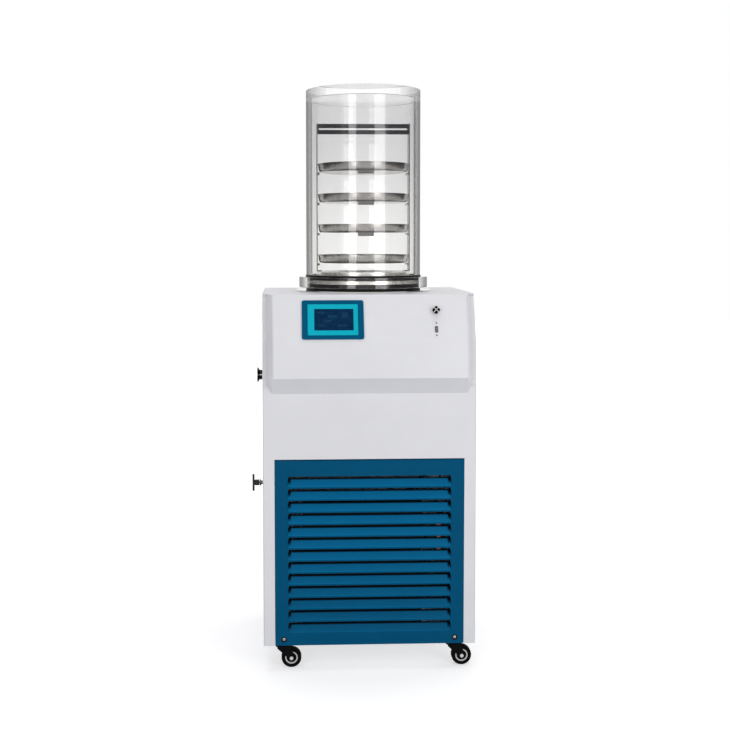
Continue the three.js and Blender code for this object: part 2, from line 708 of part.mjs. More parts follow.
// ---------------------------------------------------------------- side fittings
function makeSideFittings() {
  const { halfWidth } = CABINET;

  // Vacuum connection: a small-flange stub whose tube runs straight into the trap's wall.
  const { y, z, tube, bore, flange, reach } = PORT;
  const tip = -halfWidth - reach;
  const length = 260;
  const stub = turned(
    [
      [bore, 0],
      [flange, 0],
      [flange, 2.2],
      [tube, 6.4],
      [tube, length],
      [bore, length],
      [bore, 0],
    ],
    SIDES.port,
    "x",
    [tip, y, z],
  );
  const trapClear = rod(TRAP.inner + TRAP.wall + GAP, 400, SIDES.trap, "z", [TRAP.x, TRAP.y, 600]);
  place("vacuum_port", cut(stub, trapClear), STAINLESS);

  // Drain valve: its body hangs on the side panel by a nut, the bar handle turns outside, and its
  // outlet pipe drops through the base pan.
  const v = { x: -halfWidth, y: VALVE.y, z: VALVE.z };
  const outletZ = CABINET.bottom - 12;
  const valveBody = join(
    rod(VALVE.neck, 26, SIDES.pin, "x", [v.x - 11, v.y, v.z]),
    rod(VALVE.bonnet, 3.6, 6, "x", [v.x - 11, v.y, v.z]),
    rod(2.5, 6, SIDES.pin, "x", [v.x - 16, v.y, v.z]),
    rod(9, 6, 6, "x", [v.x + SHEET + GAP, v.y, v.z]),
    rod(9, 26, 6, "x", [v.x + 12, v.y, v.z]),
    rod(6, v.z + 20 - outletZ, SIDES.pin, "z", [DRAIN_X, v.y, outletZ]),
  );
  const portBores = [
    rod(3.4, 14, SIDES.pin, "z", [DRAIN_X, v.y, v.z + 8]),
    rod(4, v.z - 8 - outletZ, SIDES.pin, "z", [DRAIN_X, v.y, outletZ - 1]),
  ];
  place("drain_valve", cut(valveBody, ...portBores), STEEL);

  const bar = roundedRectangle(8, VALVE.bar, 3.9);
  const hub = VALVE.bonnet - 0.6;
  const handle = cut(
    join(
      prism(bar, VALVE.barThick, "x", [v.x - 30, v.y, v.z]),
      turned(
        [[0, 0], [5, 0], [hub, 3.4], [hub, 13.9], [0, 13.9]],
        SIDES.fitting,
        "x",
        [v.x - 26, v.y, v.z],
      ),
    ),
    rod(2.58, 6, SIDES.fitting, "x", [v.x - 16.3, v.y, v.z]),
  );
  place("drain_handle", handle, STEEL);

  // Drain line: out of the trap's floor and under the shelf to the valve.
  const line = pipe(
    [
      [TRAP.x, TRAP.y, TRAP.floor - TRAP.wall - GAP],
      [TRAP.x, TRAP.y, 620],
      [TRAP.x, TRAP.y, 596],
      [TRAP.x - 30, TRAP.y - 10, 575],
      [-150, TRAP.y - 60, 560],
      [DRAIN_X + 10, v.y + 4, 545],
      [DRAIN_X, v.y, 510],
      [DRAIN_X, v.y, v.z + 20 + GAP],
    ],
    5,
    16,
  );
  place("drain_line", line, CLEAR_ACRYLIC);
}

// ---------------------------------------------------------------- refrigeration set
function makeRefrigeration() {
  const panTop = CABINET.bottom + 2 + GAP;

  // Hermetic compressor: a domed shell on a foot plate with four rubber grommets' sleeves.
  const c = COMPRESSOR;
  const lift = 14;
  const shell = turned(
    [
      [0, lift],
      [c.radius - 18, lift + 3],
      [c.radius, lift + 30],
      [c.radius, lift + 128],
      [c.radius + 3, lift + 128],
      [c.radius + 3, lift + 136],
      [c.radius, lift + 136],
      [c.radius - 8, lift + 180],
      [c.radius - 40, c.height - 5],
      [0, c.height],
    ],
    SIDES.small,
    "z",
    [c.x, c.y, panTop],
  );
  const feet = prism(roundedRectangle(196, 120, 16), 4, "z", [c.x, c.y, panTop + 12]);
  const sleeves = [-1, 1].flatMap((sx) =>
    [-1, 1].map((sy) => rod(10, 12.5, SIDES.pipe, "z", [c.x + sx * 82, c.y + sy * 45, panTop])),
  );
  const terminalBox = block([c.x + 60, c.x + 104], [c.y - 30, c.y + 30], [panTop + 70, panTop + 130]);
  const stubs = [
    rod(5, 30, SIDES.pin, "z", [c.x - 40, c.y + 30, panTop + 196]),
    rod(6.5, 34, SIDES.pin, "z", [c.x + 30, c.y - 40, panTop + 196]),
  ];
  place("compressor", join(shell, feet, ...sleeves, terminalBox, ...stubs), BLACK_PAINT);

  // Condenser: a finned block between two end plates, with the return bends outside the plates.
  const { x0, x1, y0, y1, z0, z1 } = CONDENSER;
  const finned = block([x0, x1], [y0, y1], [z0 + 3, z1 - 3]);
  const grooves = [];
  for (let z = z0 + 15; z < z1 - 12; z += 40) {
    grooves.push(block([x0 + 4, x1 - 4], [y0 - 1, y0 + 5], [z, z + 28]));
  }
  const endPlates = [x0, x1 - 2].map((x) => block([x, x + 2], [y0 - 6, y1 + 6], [panTop, z1]));
  const bends = [];
  const mid = (y0 + y1) / 2;
  for (let z = z0 + 50; z < z1 - 20; z += 80) {
    const route = [[-1, -14], [10, -12], [16, 0], [10, 12], [-1, 14]];
    bends.push(pipe(route.map(([dx, dz]) => [x1 + dx, mid, z + dz]), 4.75, 5));
  }
  place("condenser", join(cut(finned, ...grooves), ...endPlates, ...bends), ALUMINIUM);

  // Fan: a pressed shroud behind the condenser, a motor on a spider, and a five-bladed propeller.
  const shroudY = y1 + 8;
  const venturi = turned(
    [
      [FAN.hole + 6, 0],
      [FAN.hole + 9, 0],
      [FAN.hole + 1.5, 15],
      [FAN.hole + 1.5, 30],
      [FAN.hole, 30],
      [FAN.hole, 14],
      [FAN.hole + 6, 0],
    ],
    SIDES.duct,
    "y",
    [FAN.x, shroudY, FAN.z],
  );
  const plateHole = rod(FAN.hole + 7, 20, SIDES.duct, "y", [FAN.x, shroudY - 5, FAN.z]);
  const shroudPlate = cut(block([x0, x1 - 2 - GAP], [shroudY, shroudY + 1.5], [panTop, z1]), plateHole);
  place("fan_shroud", join(shroudPlate, venturi), ZINC);

  const motorY = shroudY + 44;
  const arms = [0, 1, 2, 3].map((i) => {
    const arm = block([0, FAN.hole + 14], [motorY + 22, motorY + 25], [-6, 6]);
    return arm.rotate([0, 45 + i * 90, 0]).translate([FAN.x, 0, FAN.z]);
  });
  const legs = [0, 1, 2, 3].map((i) => {
    const leg = block([FAN.hole + 12, FAN.hole + 14], [shroudY + 1.5 + GAP, motorY + 25], [-6, 6]);
    return leg.rotate([0, 45 + i * 90, 0]).translate([FAN.x, 0, FAN.z]);
  });
  const motor = join(
    turned([[0, 0], [34, 0], [34, 44], [28, 52], [0, 52]], SIDES.small, "y", [FAN.x, motorY, FAN.z]),
    rod(4, 36, SIDES.pin, "y", [FAN.x, motorY - 35, FAN.z]),
    ...arms,
    ...legs,
  );
  place("fan_motor", motor, BLACK_PAINT);
  place("fan_blade", makeFanBlade(shroudY + 8), ALUMINIUM);

  // Filter drier, and the copper lines that join the set to the trap's coil.
  const drier = { x: 154, y: 66 };
  place(
    "filter_drier",
    turned(
      [[0, 244], [5, 244], [5, 256], [13, 268], [13, 372], [5, 384], [5, 396], [0, 396]],
      SIDES.small,
      "z",
      [drier.x + 28, drier.y, 0],
    ),
    COPPER,
  );
  const coilRadius = TRAP.inner + TRAP.wall + COIL.clear + COIL.tube;
  const liquid = pipe(
    [
      [drier.x + 28, drier.y, 396 + GAP],
      [drier.x + 28, drier.y, 440],
      [LIQUID.x, LIQUID.y - 20, 560],
      [LIQUID.x, LIQUID.y, 610],
      [LIQUID.x, LIQUID.y, 690],
      [LIQUID.x, TRAP.y - 30, 750],
      [LIQUID.x - 6, TRAP.y - 22, LIQUID_TOP],
      [160, TRAP.y - 20, LIQUID_TOP],
      [coilRadius + COIL.tube + 2.5, TRAP.y - 20, LIQUID_TOP],
    ],
    3.2,
    18,
  );
  place("liquid_line", liquid, COPPER);
  const suction = pipe(
    [
      [coilRadius + COIL.tube + 2.5, TRAP.y + 20, SUCTION_TOP],
      [165, TRAP.y + 20, SUCTION_TOP],
      [182, TRAP.y + 26, SUCTION_TOP - 8],
      [SUCTION.x, SUCTION.y - 40, 860],
      [SUCTION.x, SUCTION.y, 780],
      [SUCTION.x, SUCTION.y, 560],
      [SUCTION.x - 20, SUCTION.y, 420],
      [60, c.y - 30, 350],
      [c.x + 40, c.y - 40, 345],
      [c.x + 30, c.y - 40, 330],
      [c.x + 30, c.y - 40, panTop + 230 + GAP],
    ],
    6,
    26,
  );
  place("suction_line", suction, COPPER);

  // Discharge line: compressor to the head of the condenser.
  const discharge = pipe(
    [
      [c.x - 40, c.y + 30, panTop + 226 + GAP],
      [c.x - 40, c.y + 30, 320],
      [-190, c.y - 20, 380],
      [-205, 240, 420],
      [-205, 120, 420],
      [-196, (y0 + y1) / 2, 400],
      [x0 - 12, (y0 + y1) / 2, 396],
      [x0 - GAP, (y0 + y1) / 2, 396],
    ],
    4.75,
    17,
  );
  place("discharge_line", discharge, COPPER);
}

// Five pitched, slightly swept blades on a hub with a shaft bore.
function makeFanBlade(y) {
  const hub = turned(
    [[4.09, 0], [FAN.hub - 4, 0], [FAN.hub, 4], [FAN.hub, 16], [4.09, 16], [4.09, 0]],
    SIDES.fitting,
    "y",
    [0, 0, 0],
  );
  const outline = new THREE.Shape();
  outline.moveTo(FAN.hub - 4, -11);
  outline.quadraticCurveTo(70, -40, FAN.blade, -34);
  outline.quadraticCurveTo(FAN.blade + 5, 0, FAN.blade - 4, 26);
  outline.quadraticCurveTo(70, 22, FAN.hub - 4, 11);
  const flat = new THREE.ExtrudeGeometry(outline, { depth: 1.6, bevelEnabled: false, curveSegments: 2 });
  flat.translate(0, 0, -0.8).rotateX((62 * Math.PI) / 180);
  const blade = solid(flat).translate([0, 8, 0]);
  const trimmed = blade.intersect(collar(FAN.hub - 8, FAN.blade + 1, 40, SIDES.duct, "y", [0, -12, 0]));
  const blades = Array.from({ length: 5 }, (_, i) => trimmed.rotate([0, i * 72, 0]));
  return join(hub, ...blades).translate([FAN.x, y, FAN.z]);
}

// ---------------------------------------------------------------- electrics
function makeElectrics() {
  const { depth } = CABINET;
  place("control_box", block([168, 244], [200, 300], [440, 600]), ZINC);

  // Mains inlet module: appliance inlet below, rocker above, in one flanged moulding.
  const { x, z } = INLET;
  const y = depth;
  const flange = prism(roundedRectangle(54, 70, 5), 2.6, "y", [x, y + GAP + 2.6, z]);
  const body = prism(roundedRectangle(46, 60, 3), 30, "y", [x, y + 1, z]);
  const socket = prism(
    [[-12.2, -8.2], [12.2, -8.2], [12.2, 4.2], [8.2, 8.2], [-8.2, 8.2], [-12.2, 4.2]],
    22,
    "y",
    [x, y + 5, z - 15],
  );
  const pins = [[-7, -1.4], [0, 2.6], [7, -1.4]].map(([dx, dz]) =>
    block([x + dx - 1, x + dx + 1], [y - 18, y - 3], [z - 15 + dz - 2, z - 15 + dz + 2]),
  );
  const rockerWell = block([x - 11.4, x + 11.4], [y - 16, y + 5], [z + 5, z + 27]);
  const inlet = join(cut(join(flange, body), socket, rockerWell), ...pins);
  place("mains_inlet", inlet, BLACK_PLASTIC);

  // The rocker tilts about a shaft along X in the middle of its well.
  const rocker = prism(
    [[-7.5, -8.6], [0.8, -9.6], [4.6, -9.6], [2.2, 0], [1.4, 9.6], [0.4, 9.6], [-7.5, 8.6]],
    22,
    "x",
    [x - 11, y, z + 16],
  );
  place("mains_rocker", rocker, BLACK_PLASTIC);
}

// ---------------------------------------------------------------- casters
// A plate caster: the plate is bolted to the pan, the fork swivels under it and trails the wheel.
function makeCaster(name, px, py) {
  const { plate, wheel, width, trail, axle } = CASTER;
  const top = CABINET.bottom - GAP;
  const cheek = { inner: width / 2 + 1.2, thick: 2 };

  const mount = join(
    prism(roundedRectangle(plate, plate, 6), 2.6, "z", [px, py, top - 2.6]),
    turned([[0, 0], [19, 0], [21, 6], [0, 6]], SIDES.small, "z", [px, py, top - 8]),
    rod(axle, 8, SIDES.pin, "z", [px, py, top - 15]),
  );
  place(`caster_${name}_plate`, mount, BLACK_PAINT);

  const crownTop = top - 8 - GAP;
  const crown = cut(
    rod(20, 5, SIDES.small, "z", [px, py, crownTop - 5]),
    rod(axle + 0.09, 12, SIDES.fitting, "z", [px, py, crownTop - 8]),
  );
  const axleX = px + trail;
  const cheekOutline = new THREE.Shape();
  cheekOutline.moveTo(px - 15, crownTop);
  cheekOutline.lineTo(px + 18, crownTop);
  cheekOutline.lineTo(axleX + 8, wheel);
  cheekOutline.absarc(axleX, wheel, 8, 0, -Math.PI, true);
  cheekOutline.lineTo(px - 15, crownTop - 8);
  const cheeks = [-1, 1].map((side) => {
    const yFar = side < 0 ? py - cheek.inner : py + cheek.inner + cheek.thick;
    return prism(cheekOutline, cheek.thick, "y", [0, yFar, 0]);
  });
  const span = 2 * (cheek.inner + cheek.thick) + 3;
  const pin = rod(axle, span, SIDES.pin, "y", [axleX, py - span / 2, wheel]);
  place(`caster_${name}_fork`, join(crown, ...cheeks, pin), BLACK_PAINT);

  const half = width / 2;
  const section = [
    [axle + 0.09, -half],
    [wheel - 3, -half],
    [wheel, -half + 4],
    [wheel, half - 4],
    [wheel - 3, half],
    [axle + 0.09, half],
    [axle + 0.09, -half],
  ];
  place(`caster_${name}_wheel`, turned(section, SIDES.wheel, "y", [axleX, py, wheel]), BLACK_RUBBER);
}

makeCabinet();
makeConsole();
makeLouvrePanel();
makeTrap();
makeDrum();
makeSideFittings();
makeRefrigeration();
makeElectrics();
for (const [end, y] of [["front", CASTER.inset], ["rear", CABINET.depth - CASTER.inset]]) {
  makeCaster(`${end}_left`, -CASTER.x, y);
  makeCaster(`${end}_right`, CASTER.x, y);
}

// The footprint is centred on the origin and the wheels stand on z = 0.
const extent = new THREE.Box3().setFromObject(freezeDryer);
const centre = extent.getCenter(new THREE.Vector3());
freezeDryer.position.set(-centre.x, -centre.y, -extent.min.z);

export default freezeDryer;
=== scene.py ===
import json
import math

import bmesh
import bpy
from mathutils import Matrix, Vector


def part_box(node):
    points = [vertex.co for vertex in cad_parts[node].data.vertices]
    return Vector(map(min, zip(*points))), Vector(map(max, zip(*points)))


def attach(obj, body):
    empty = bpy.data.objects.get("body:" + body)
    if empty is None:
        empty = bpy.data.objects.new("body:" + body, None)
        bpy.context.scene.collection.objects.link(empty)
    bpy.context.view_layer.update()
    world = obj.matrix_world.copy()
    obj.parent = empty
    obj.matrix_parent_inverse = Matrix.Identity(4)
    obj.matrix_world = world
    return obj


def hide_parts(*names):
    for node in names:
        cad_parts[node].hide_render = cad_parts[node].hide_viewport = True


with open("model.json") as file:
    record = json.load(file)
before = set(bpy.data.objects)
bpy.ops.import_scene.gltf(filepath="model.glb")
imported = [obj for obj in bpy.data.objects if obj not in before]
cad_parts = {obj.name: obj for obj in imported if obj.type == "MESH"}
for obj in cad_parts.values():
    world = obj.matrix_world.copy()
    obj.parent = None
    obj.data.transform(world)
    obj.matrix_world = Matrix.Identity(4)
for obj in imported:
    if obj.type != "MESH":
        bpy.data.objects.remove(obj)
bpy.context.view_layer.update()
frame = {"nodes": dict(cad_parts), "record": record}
scene = bpy.context.scene
scene.view_settings.view_transform = "Standard"
MM = 0.001


# ------------------------------------------------------------------ camera
def make_camera(at, yaw, pitch, roll, lens, shift):
    """Angles in degrees: yaw turns to the left of +Y, pitch is up, roll is anticlockwise."""
    yaw, pitch, roll = (math.radians(a) for a in (yaw, pitch, roll))
    forward = Vector((-math.sin(yaw) * math.cos(pitch), math.cos(yaw) * math.cos(pitch), math.sin(pitch)))
    right = Vector((math.cos(yaw), math.sin(yaw), 0))
    up = right.cross(forward)
    side = right * math.cos(roll) + up * math.sin(roll)
    top = up * math.cos(roll) - right * math.sin(roll)
    data = bpy.data.cameras.new("camera")
    data.lens, data.sensor_width = lens, 36
    data.shift_x, data.shift_y = shift
    data.clip_start, data.clip_end = 0.05, 60
    camera = bpy.data.objects.new("camera", data)
    axes = Matrix((side, top, -forward)).transposed().to_4x4()
    camera.matrix_world = Matrix.Translation(at) @ axes
    scene.collection.objects.link(camera)
    scene.camera = camera


make_camera(at=(-0.1853, -2.9878, 1.0658), yaw=-2.24, pitch=-3.578, roll=-0.097, lens=56.61,
            shift=(0.0447, -0.0711))


# ------------------------------------------------------------------ materials
class Nodes:
    """A small hand for wiring node trees."""

    def __init__(self, tree):
        self.tree = tree

    def add(self, kind, inputs=None, **settings):
        node = self.tree.nodes.new(kind)
        for key, value in settings.items():
            setattr(node, key, value)
        for key, value in (inputs or {}).items():
            if isinstance(value, bpy.types.NodeSocket):
                self.tree.links.new(value, node.inputs[key])
            else:
                node.inputs[key].default_value = value
        return node

    def coords(self, stretch=(1, 1, 1)):
        place = self.add("ShaderNodeTexCoord").outputs["Object"]
        return self.add("ShaderNodeMapping", {"Vector": place, "Scale": stretch}).outputs[0]

    def noise(self, vector, cell, detail=3.0, rough=0.55):
        inputs = {"Vector": vector, "Scale": 1 / cell, "Detail": detail, "Roughness": rough}
        return self.add("ShaderNodeTexNoise", inputs).outputs[0]

    def spread(self, value, low, high, reach=0.2):
        """Maps a noise value about its middle to low..high."""
        inputs = {"Value": value, "From Min": 0.5 - reach, "From Max": 0.5 + reach, "To Min": low,
                  "To Max": high}
        return self.add("ShaderNodeMapRange", inputs).outputs[0]

    def blend(self, factor, first, second):
        node = self.add("ShaderNodeMix", data_type="RGBA")
        node.inputs["Factor"].default_value = 0
        self.tree.links.new(factor, node.inputs["Factor"])
        for slot, value in ((6, first), (7, second)):
            if isinstance(value, bpy.types.NodeSocket):
                self.tree.links.new(value, node.inputs[slot])
            else:
                node.inputs[slot].default_value = (*value, 1)
        return node.outputs[2]


def times(material, factor):
    """Multiplies what feeds the material's base colour by a factor socket."""
    shader = material.node_tree.nodes["Principled BSDF"]
    mix = Nodes(material.node_tree).add("ShaderNodeMix", data_type="RGBA", blend_type="MULTIPLY")
    mix.inputs["Factor"].default_value = 1
    link = material.node_tree.links.new
    link(shader.inputs["Base Color"].links[0].from_socket, mix.inputs[6])
    link(factor, mix.inputs[7])
    link(mix.outputs[2], shader.inputs["Base Color"])


def facing_tone(n, stops):
    """A grey that follows how far the surface turns away: stops are (facing, tone) pairs."""
    facing = n.add("ShaderNodeLayerWeight", {"Blend": 0.5}).outputs["Facing"]
    ramp = n.add("ShaderNodeValToRGB", {"Fac": facing})
    elements = ramp.color_ramp.elements
    while len(elements) < len(stops):
        elements.new(0.5)
    for element, (place, tone) in zip(elements, stops):
        element.position, element.color = place, (tone, tone, tone, 1)
    return ramp.outputs[0]


def tinted(color, factor):
    return tuple(min(1.0, c * factor) for c in color)


def finish(name, color, rough, metallic=0.0, tone=0.03, patch=0.06, grain=0.0008, relief=0.00002,
           bump=0.12, stretch=(1, 1, 1), rough_tone=0.04, **sockets):
    """A surface whose colour and roughness drift in soft patches and whose relief is a fine grain."""
    material = bpy.data.materials.new(name)
    material.use_nodes = True
    n = Nodes(material.node_tree)
    shader = material.node_tree.nodes["Principled BSDF"]
    link = material.node_tree.links.new
    base = n.coords()
    drift = n.spread(n.noise(base, patch), 0, 1)
    link(n.blend(drift, tinted(color, 1 - tone), tinted(color, 1 + tone)), shader.inputs["Base Color"])
    fine = n.noise(n.coords(stretch), grain, 2.0)
    mixed = n.add("ShaderNodeMath", {0: fine, 1: n.noise(base, patch / 3)}, operation="ADD")
    half = n.add("ShaderNodeMath", {0: mixed.outputs[0], 1: 0.5}, operation="MULTIPLY")
    link(n.spread(half.outputs[0], max(0.02, rough - rough_tone), rough + rough_tone),
         shader.inputs["Roughness"])
    if bump:
        inputs = {"Height": fine, "Strength": bump, "Distance": relief}
        link(n.add("ShaderNodeBump", inputs).outputs[0], shader.inputs["Normal"])
    shader.inputs["Metallic"].default_value = metallic
    for key, value in sockets.items():
        shader.inputs[key.replace("_", " ")].default_value = value
    return material


WHITE = finish("white_powder_coat", (0.735, 0.735, 0.765), 0.42, tone=0.012, grain=0.0011, bump=0.18)
BLUE = finish("petrol_powder_coat", (0.0, 0.076, 0.170), 0.45, tone=0.03, grain=0.0011, bump=0.18,
              Specular_IOR_Level=0.04)
POLISHED = finish("polished_stainless", (0.62, 0.61, 0.585), 0.12, 1.0, tone=0.04, rough_tone=0.03, bump=0.03)
RACK = finish("rack_stainless", (0.27, 0.26, 0.25), 0.22, 1.0, tone=0.08, patch=0.03, grain=0.0006,
              stretch=(1, 1, 14), bump=0.08, rough_tone=0.08)
RIM_STEEL = finish("rim_steel", (0.86, 0.85, 0.82), 0.25, 0.75, tone=0.04, patch=0.03, rough_tone=0.05)
RACK_BAR = finish("rack_bar_steel", (0.08, 0.078, 0.085), 0.2, 1.0, tone=0.15, patch=0.02, grain=0.0006,
                  stretch=(14, 1, 1), bump=0.06)
PLATED = finish("plated_steel", (0.42, 0.42, 0.42), 0.22, 1.0, tone=0.06, patch=0.01, rough_tone=0.06)
VALVE_METAL = finish("dulled_chrome_painted_reflection", (0.30, 0.29, 0.28), 0.3, 0.6, tone=0.08, patch=0.008, rough_tone=0.06,
                     Specular_IOR_Level=0.1)
# Painted reflection: the valve darkens steeply where its surface turns away from the view, standing in for
# dark surroundings mirrored in the metal.
times(VALVE_METAL, facing_tone(Nodes(VALVE_METAL.node_tree), ((0.02, 1.0), (0.06, 0.2), (0.20, 0.02))))
HANDLE_METAL = finish("dark_handle", (0.035, 0.035, 0.034), 0.35, 0.5, tone=0.1, patch=0.008, rough_tone=0.06,
                      Specular_IOR_Level=0.1)
BRIGHT = finish("bright_nut", (0.70, 0.70, 0.69), 0.4, 0.4, tone=0.05, patch=0.006, bump=0.1)
# Painted reflection: chrome whose colour is painted near black except where the surface faces the view
# straight on, which gives a painted highlight along its middle.
PORT_CHROME_PAINTED_REFLECTION = finish("chrome_painted_reflection", (0.80, 0.80, 0.80), 0.2, 1.0, tone=0.1, patch=0.01, bump=0.05)
times(PORT_CHROME_PAINTED_REFLECTION, facing_tone(Nodes(PORT_CHROME_PAINTED_REFLECTION.node_tree), ((0.002, 1.0), (0.012, 0.012))))
ZINC = finish("zinc_sheet", (0.50, 0.51, 0.53), 0.45, 0.9, tone=0.12, patch=0.012, rough_tone=0.1)
COPPER = finish("drawn_copper", (0.30, 0.14, 0.08), 0.35, 1.0, tone=0.1, patch=0.02, rough_tone=0.08)
ALUMINIUM = finish("mill_aluminium", (0.68, 0.69, 0.70), 0.38, 1.0, tone=0.06, stretch=(14, 1, 1))
# Painted shade: the condenser's fins get a near-black colour in place of bare aluminium, standing in for the
# dark inside of the cabinet.
FIN_PAINTED_SHADE = finish("fin_painted_shade", (0.012, 0.012, 0.013), 0.6, tone=0.2, grain=0.0016, stretch=(1, 1, 14),
                   bump=0.3,
                   Specular_IOR_Level=0.15)
BLACK_PAINT = finish("black_enamel", (0.018, 0.018, 0.02), 0.32, tone=0.15, bump=0.2)
CASTER_BLACK = finish("caster_black", (0.004, 0.004, 0.004), 0.45, tone=0.2, patch=0.01, bump=0.15,
                      Specular_IOR_Level=0.04)
TYRE = finish("wheel_tread", (0.003, 0.003, 0.003), 0.6, tone=0.2, patch=0.012, bump=0.25,
              Specular_IOR_Level=0.04)
HUB_GREY = finish("wheel_ring", (0.66, 0.66, 0.64), 0.45, tone=0.04, patch=0.01)
RUBBER = finish("black_elastomer", (0.006, 0.006, 0.007), 0.5, tone=0.2, patch=0.02, bump=0.2,
                Specular_IOR_Level=0.12)
PLASTIC = finish("black_plastic", (0.035, 0.036, 0.038), 0.42, tone=0.12, patch=0.02, bump=0.3)
SOCKET_GREY = finish("socket_grey", (0.10, 0.10, 0.105), 0.5, tone=0.1, patch=0.01, Specular_IOR_Level=0.1)
TONGUE_GREY = finish("tongue_grey", (0.42, 0.42, 0.43), 0.5, tone=0.1, patch=0.01, Specular_IOR_Level=0.1)
BEZEL = finish("petrol_bezel", (0.0, 0.085, 0.18), 0.4, tone=0.04, patch=0.02, bump=0.12,
               Specular_IOR_Level=0.04)
DISPLAY_EDGE = finish("display_cyan", (0.005, 0.42, 0.54), 0.3, tone=0.02, patch=0.02, bump=0.03,
                      Specular_IOR_Level=0.04)
DISPLAY = finish("display_navy", (0.0015, 0.024, 0.072), 0.25, tone=0.3, patch=0.008, bump=0.0,
                 Specular_IOR_Level=0.04)
DISPLAY_FIELD = finish("display_field", (0.006, 0.040, 0.098), 0.25, tone=0.25, patch=0.004, bump=0.0,
                       Specular_IOR_Level=0.04)
HOSE = finish("clear_hose", (0.78, 0.80, 0.80), 0.25, tone=0.05, patch=0.02, Transmission_Weight=0.5)
FOAM = finish("cream_foam", (0.70, 0.62, 0.42), 0.85, tone=0.14, patch=0.02, grain=0.004, relief=0.0006,
              bump=0.6)


def clear_acrylic(name, low, high, span, rims, rim_shade, rim_shade_tone):
    """Polished acrylic with painted shade. Its colour darkens from the foot to the top of the span, and where
    an upright wall
    turns away, by the (facing, tone) pairs of rims. There a grey see-through layer joins in as more painted
    shade:
    rim_shade has its (facing, share) pairs, and rim_shade_tone its (facing, tone) pairs."""
    material = finish(name, low, 0.012, tone=0.004, patch=0.08, rough_tone=0.008, bump=0,
                      Transmission_Weight=1.0, IOR=1.49)
    n = Nodes(material.node_tree)
    nodes, link = material.node_tree.nodes, material.node_tree.links.new
    # Painted shade: the colour greys from low at the foot of the span to high at its top.
    height = n.add("ShaderNodeSeparateXYZ", {"Vector": n.coords()}).outputs["Z"]
    climb = n.add("ShaderNodeMapRange", {"Value": height, "From Min": span[0], "From Max": span[1]},
                  interpolation_type="SMOOTHSTEP").outputs[0]
    link(n.blend(climb, low, high), nodes["Principled BSDF"].inputs["Base Color"])
    normal = n.add("ShaderNodeNewGeometry").outputs["Normal"]
    level = n.add("ShaderNodeMath", {0: n.add("ShaderNodeSeparateXYZ", {"Vector": normal}).outputs["Z"]},
                  operation="ABSOLUTE").outputs[0]
    upright = n.add("ShaderNodeMath", {0: level, 1: 0.5}, operation="LESS_THAN").outputs[0]
    # Painted shade: upright walls darken where they turn away, by the pairs of rims.
    times(material, n.blend(upright, (1, 1, 1), facing_tone(n, rims)))
    # Painted shade: on upright walls a grey see-through layer takes a growing share as they turn away.
    share = n.add("ShaderNodeMath", {0: upright, 1: facing_tone(n, rim_shade)}, operation="MULTIPLY").outputs[0]
    grey = n.add("ShaderNodeBsdfTransparent", {"Color": facing_tone(n, rim_shade_tone)})
    both = n.add("ShaderNodeMixShader", {0: share, 1: nodes["Principled BSDF"].outputs[0],
                                         2: grey.outputs[0]})
    link(both.outputs[0], nodes["Material Output"].inputs["Surface"])
    return material


# The tube: painted shade, greying towards its top and darkening at its turned-away edges.
ACRYLIC = clear_acrylic("clear_acrylic", low=(0.995, 0.993, 0.985), high=(0.86, 0.857, 0.863),
                        span=(1.02, 1.38), rims=((0.42, 1.0), (0.50, 0.88), (0.66, 0.84)),
                        rim_shade=((0.64, 0.0), (0.70, 1.0)), rim_shade_tone=((0.64, 0.55), (0.95, 0.47)))
# The lid: its upright edge is greyed and darkens where it turns away, painted shade.
LID_ACRYLIC = clear_acrylic("lid_acrylic", low=(0.86, 0.855, 0.845), high=(0.86, 0.855, 0.845),
                            span=(1.0, 2.0), rims=((0.25, 1.0), (0.6, 0.85), (0.9, 0.60)),
                            rim_shade=((0.0, 0.86), (1.0, 0.80)),
                            rim_shade_tone=((0.0, 0.88), (0.3, 0.84), (0.7, 0.54), (0.95, 0.42)))
# The flange ring: its upright walls darken where they turn away, painted shade.
FLANGE_ACRYLIC = clear_acrylic("flange_acrylic", low=(0.97, 0.96, 0.94), high=(0.97, 0.96, 0.94),
                               span=(1.0, 2.0), rims=((0.35, 1.0), (0.6, 0.9), (0.9, 0.7)),
                               rim_shade=((0.42, 0.0), (0.66, 0.9)),
                               rim_shade_tone=((0.42, 0.95), (0.68, 0.56), (0.95, 0.40)))

SLOT_MATERIALS = {
    "white_paint": WHITE, "blue_paint": BLUE, "stainless": POLISHED, "rack_steel": RACK,
    "plated_steel": PLATED,
    "zinc": ZINC, "copper": COPPER, "aluminium": ALUMINIUM, "black_paint": BLACK_PAINT,
    "caster_metal": CASTER_BLACK, "wheel": TYRE, "black_rubber": RUBBER, "black_plastic": PLASTIC,
    "screen_frame": BEZEL, "screen": DISPLAY_EDGE, "clear_acrylic": ACRYLIC, "clear_hose": HOSE, "foam": FOAM,
}
NODE_MATERIALS = {"rack_top_bar": RACK_BAR, "vacuum_port": PORT_CHROME_PAINTED_REFLECTION, "condenser": FIN_PAINTED_SHADE,
                  "drain_valve": VALVE_METAL, "drain_handle": HANDLE_METAL}


# ------------------------------------------------------------------ pieces
def soften(obj, width, segments=2, angle=30):
    bevel = obj.modifiers.new("edge", "BEVEL")
    bevel.width, bevel.segments = width, segments
    bevel.limit_method, bevel.angle_limit = "ANGLE", math.radians(angle)
    bevel.harden_normals = True


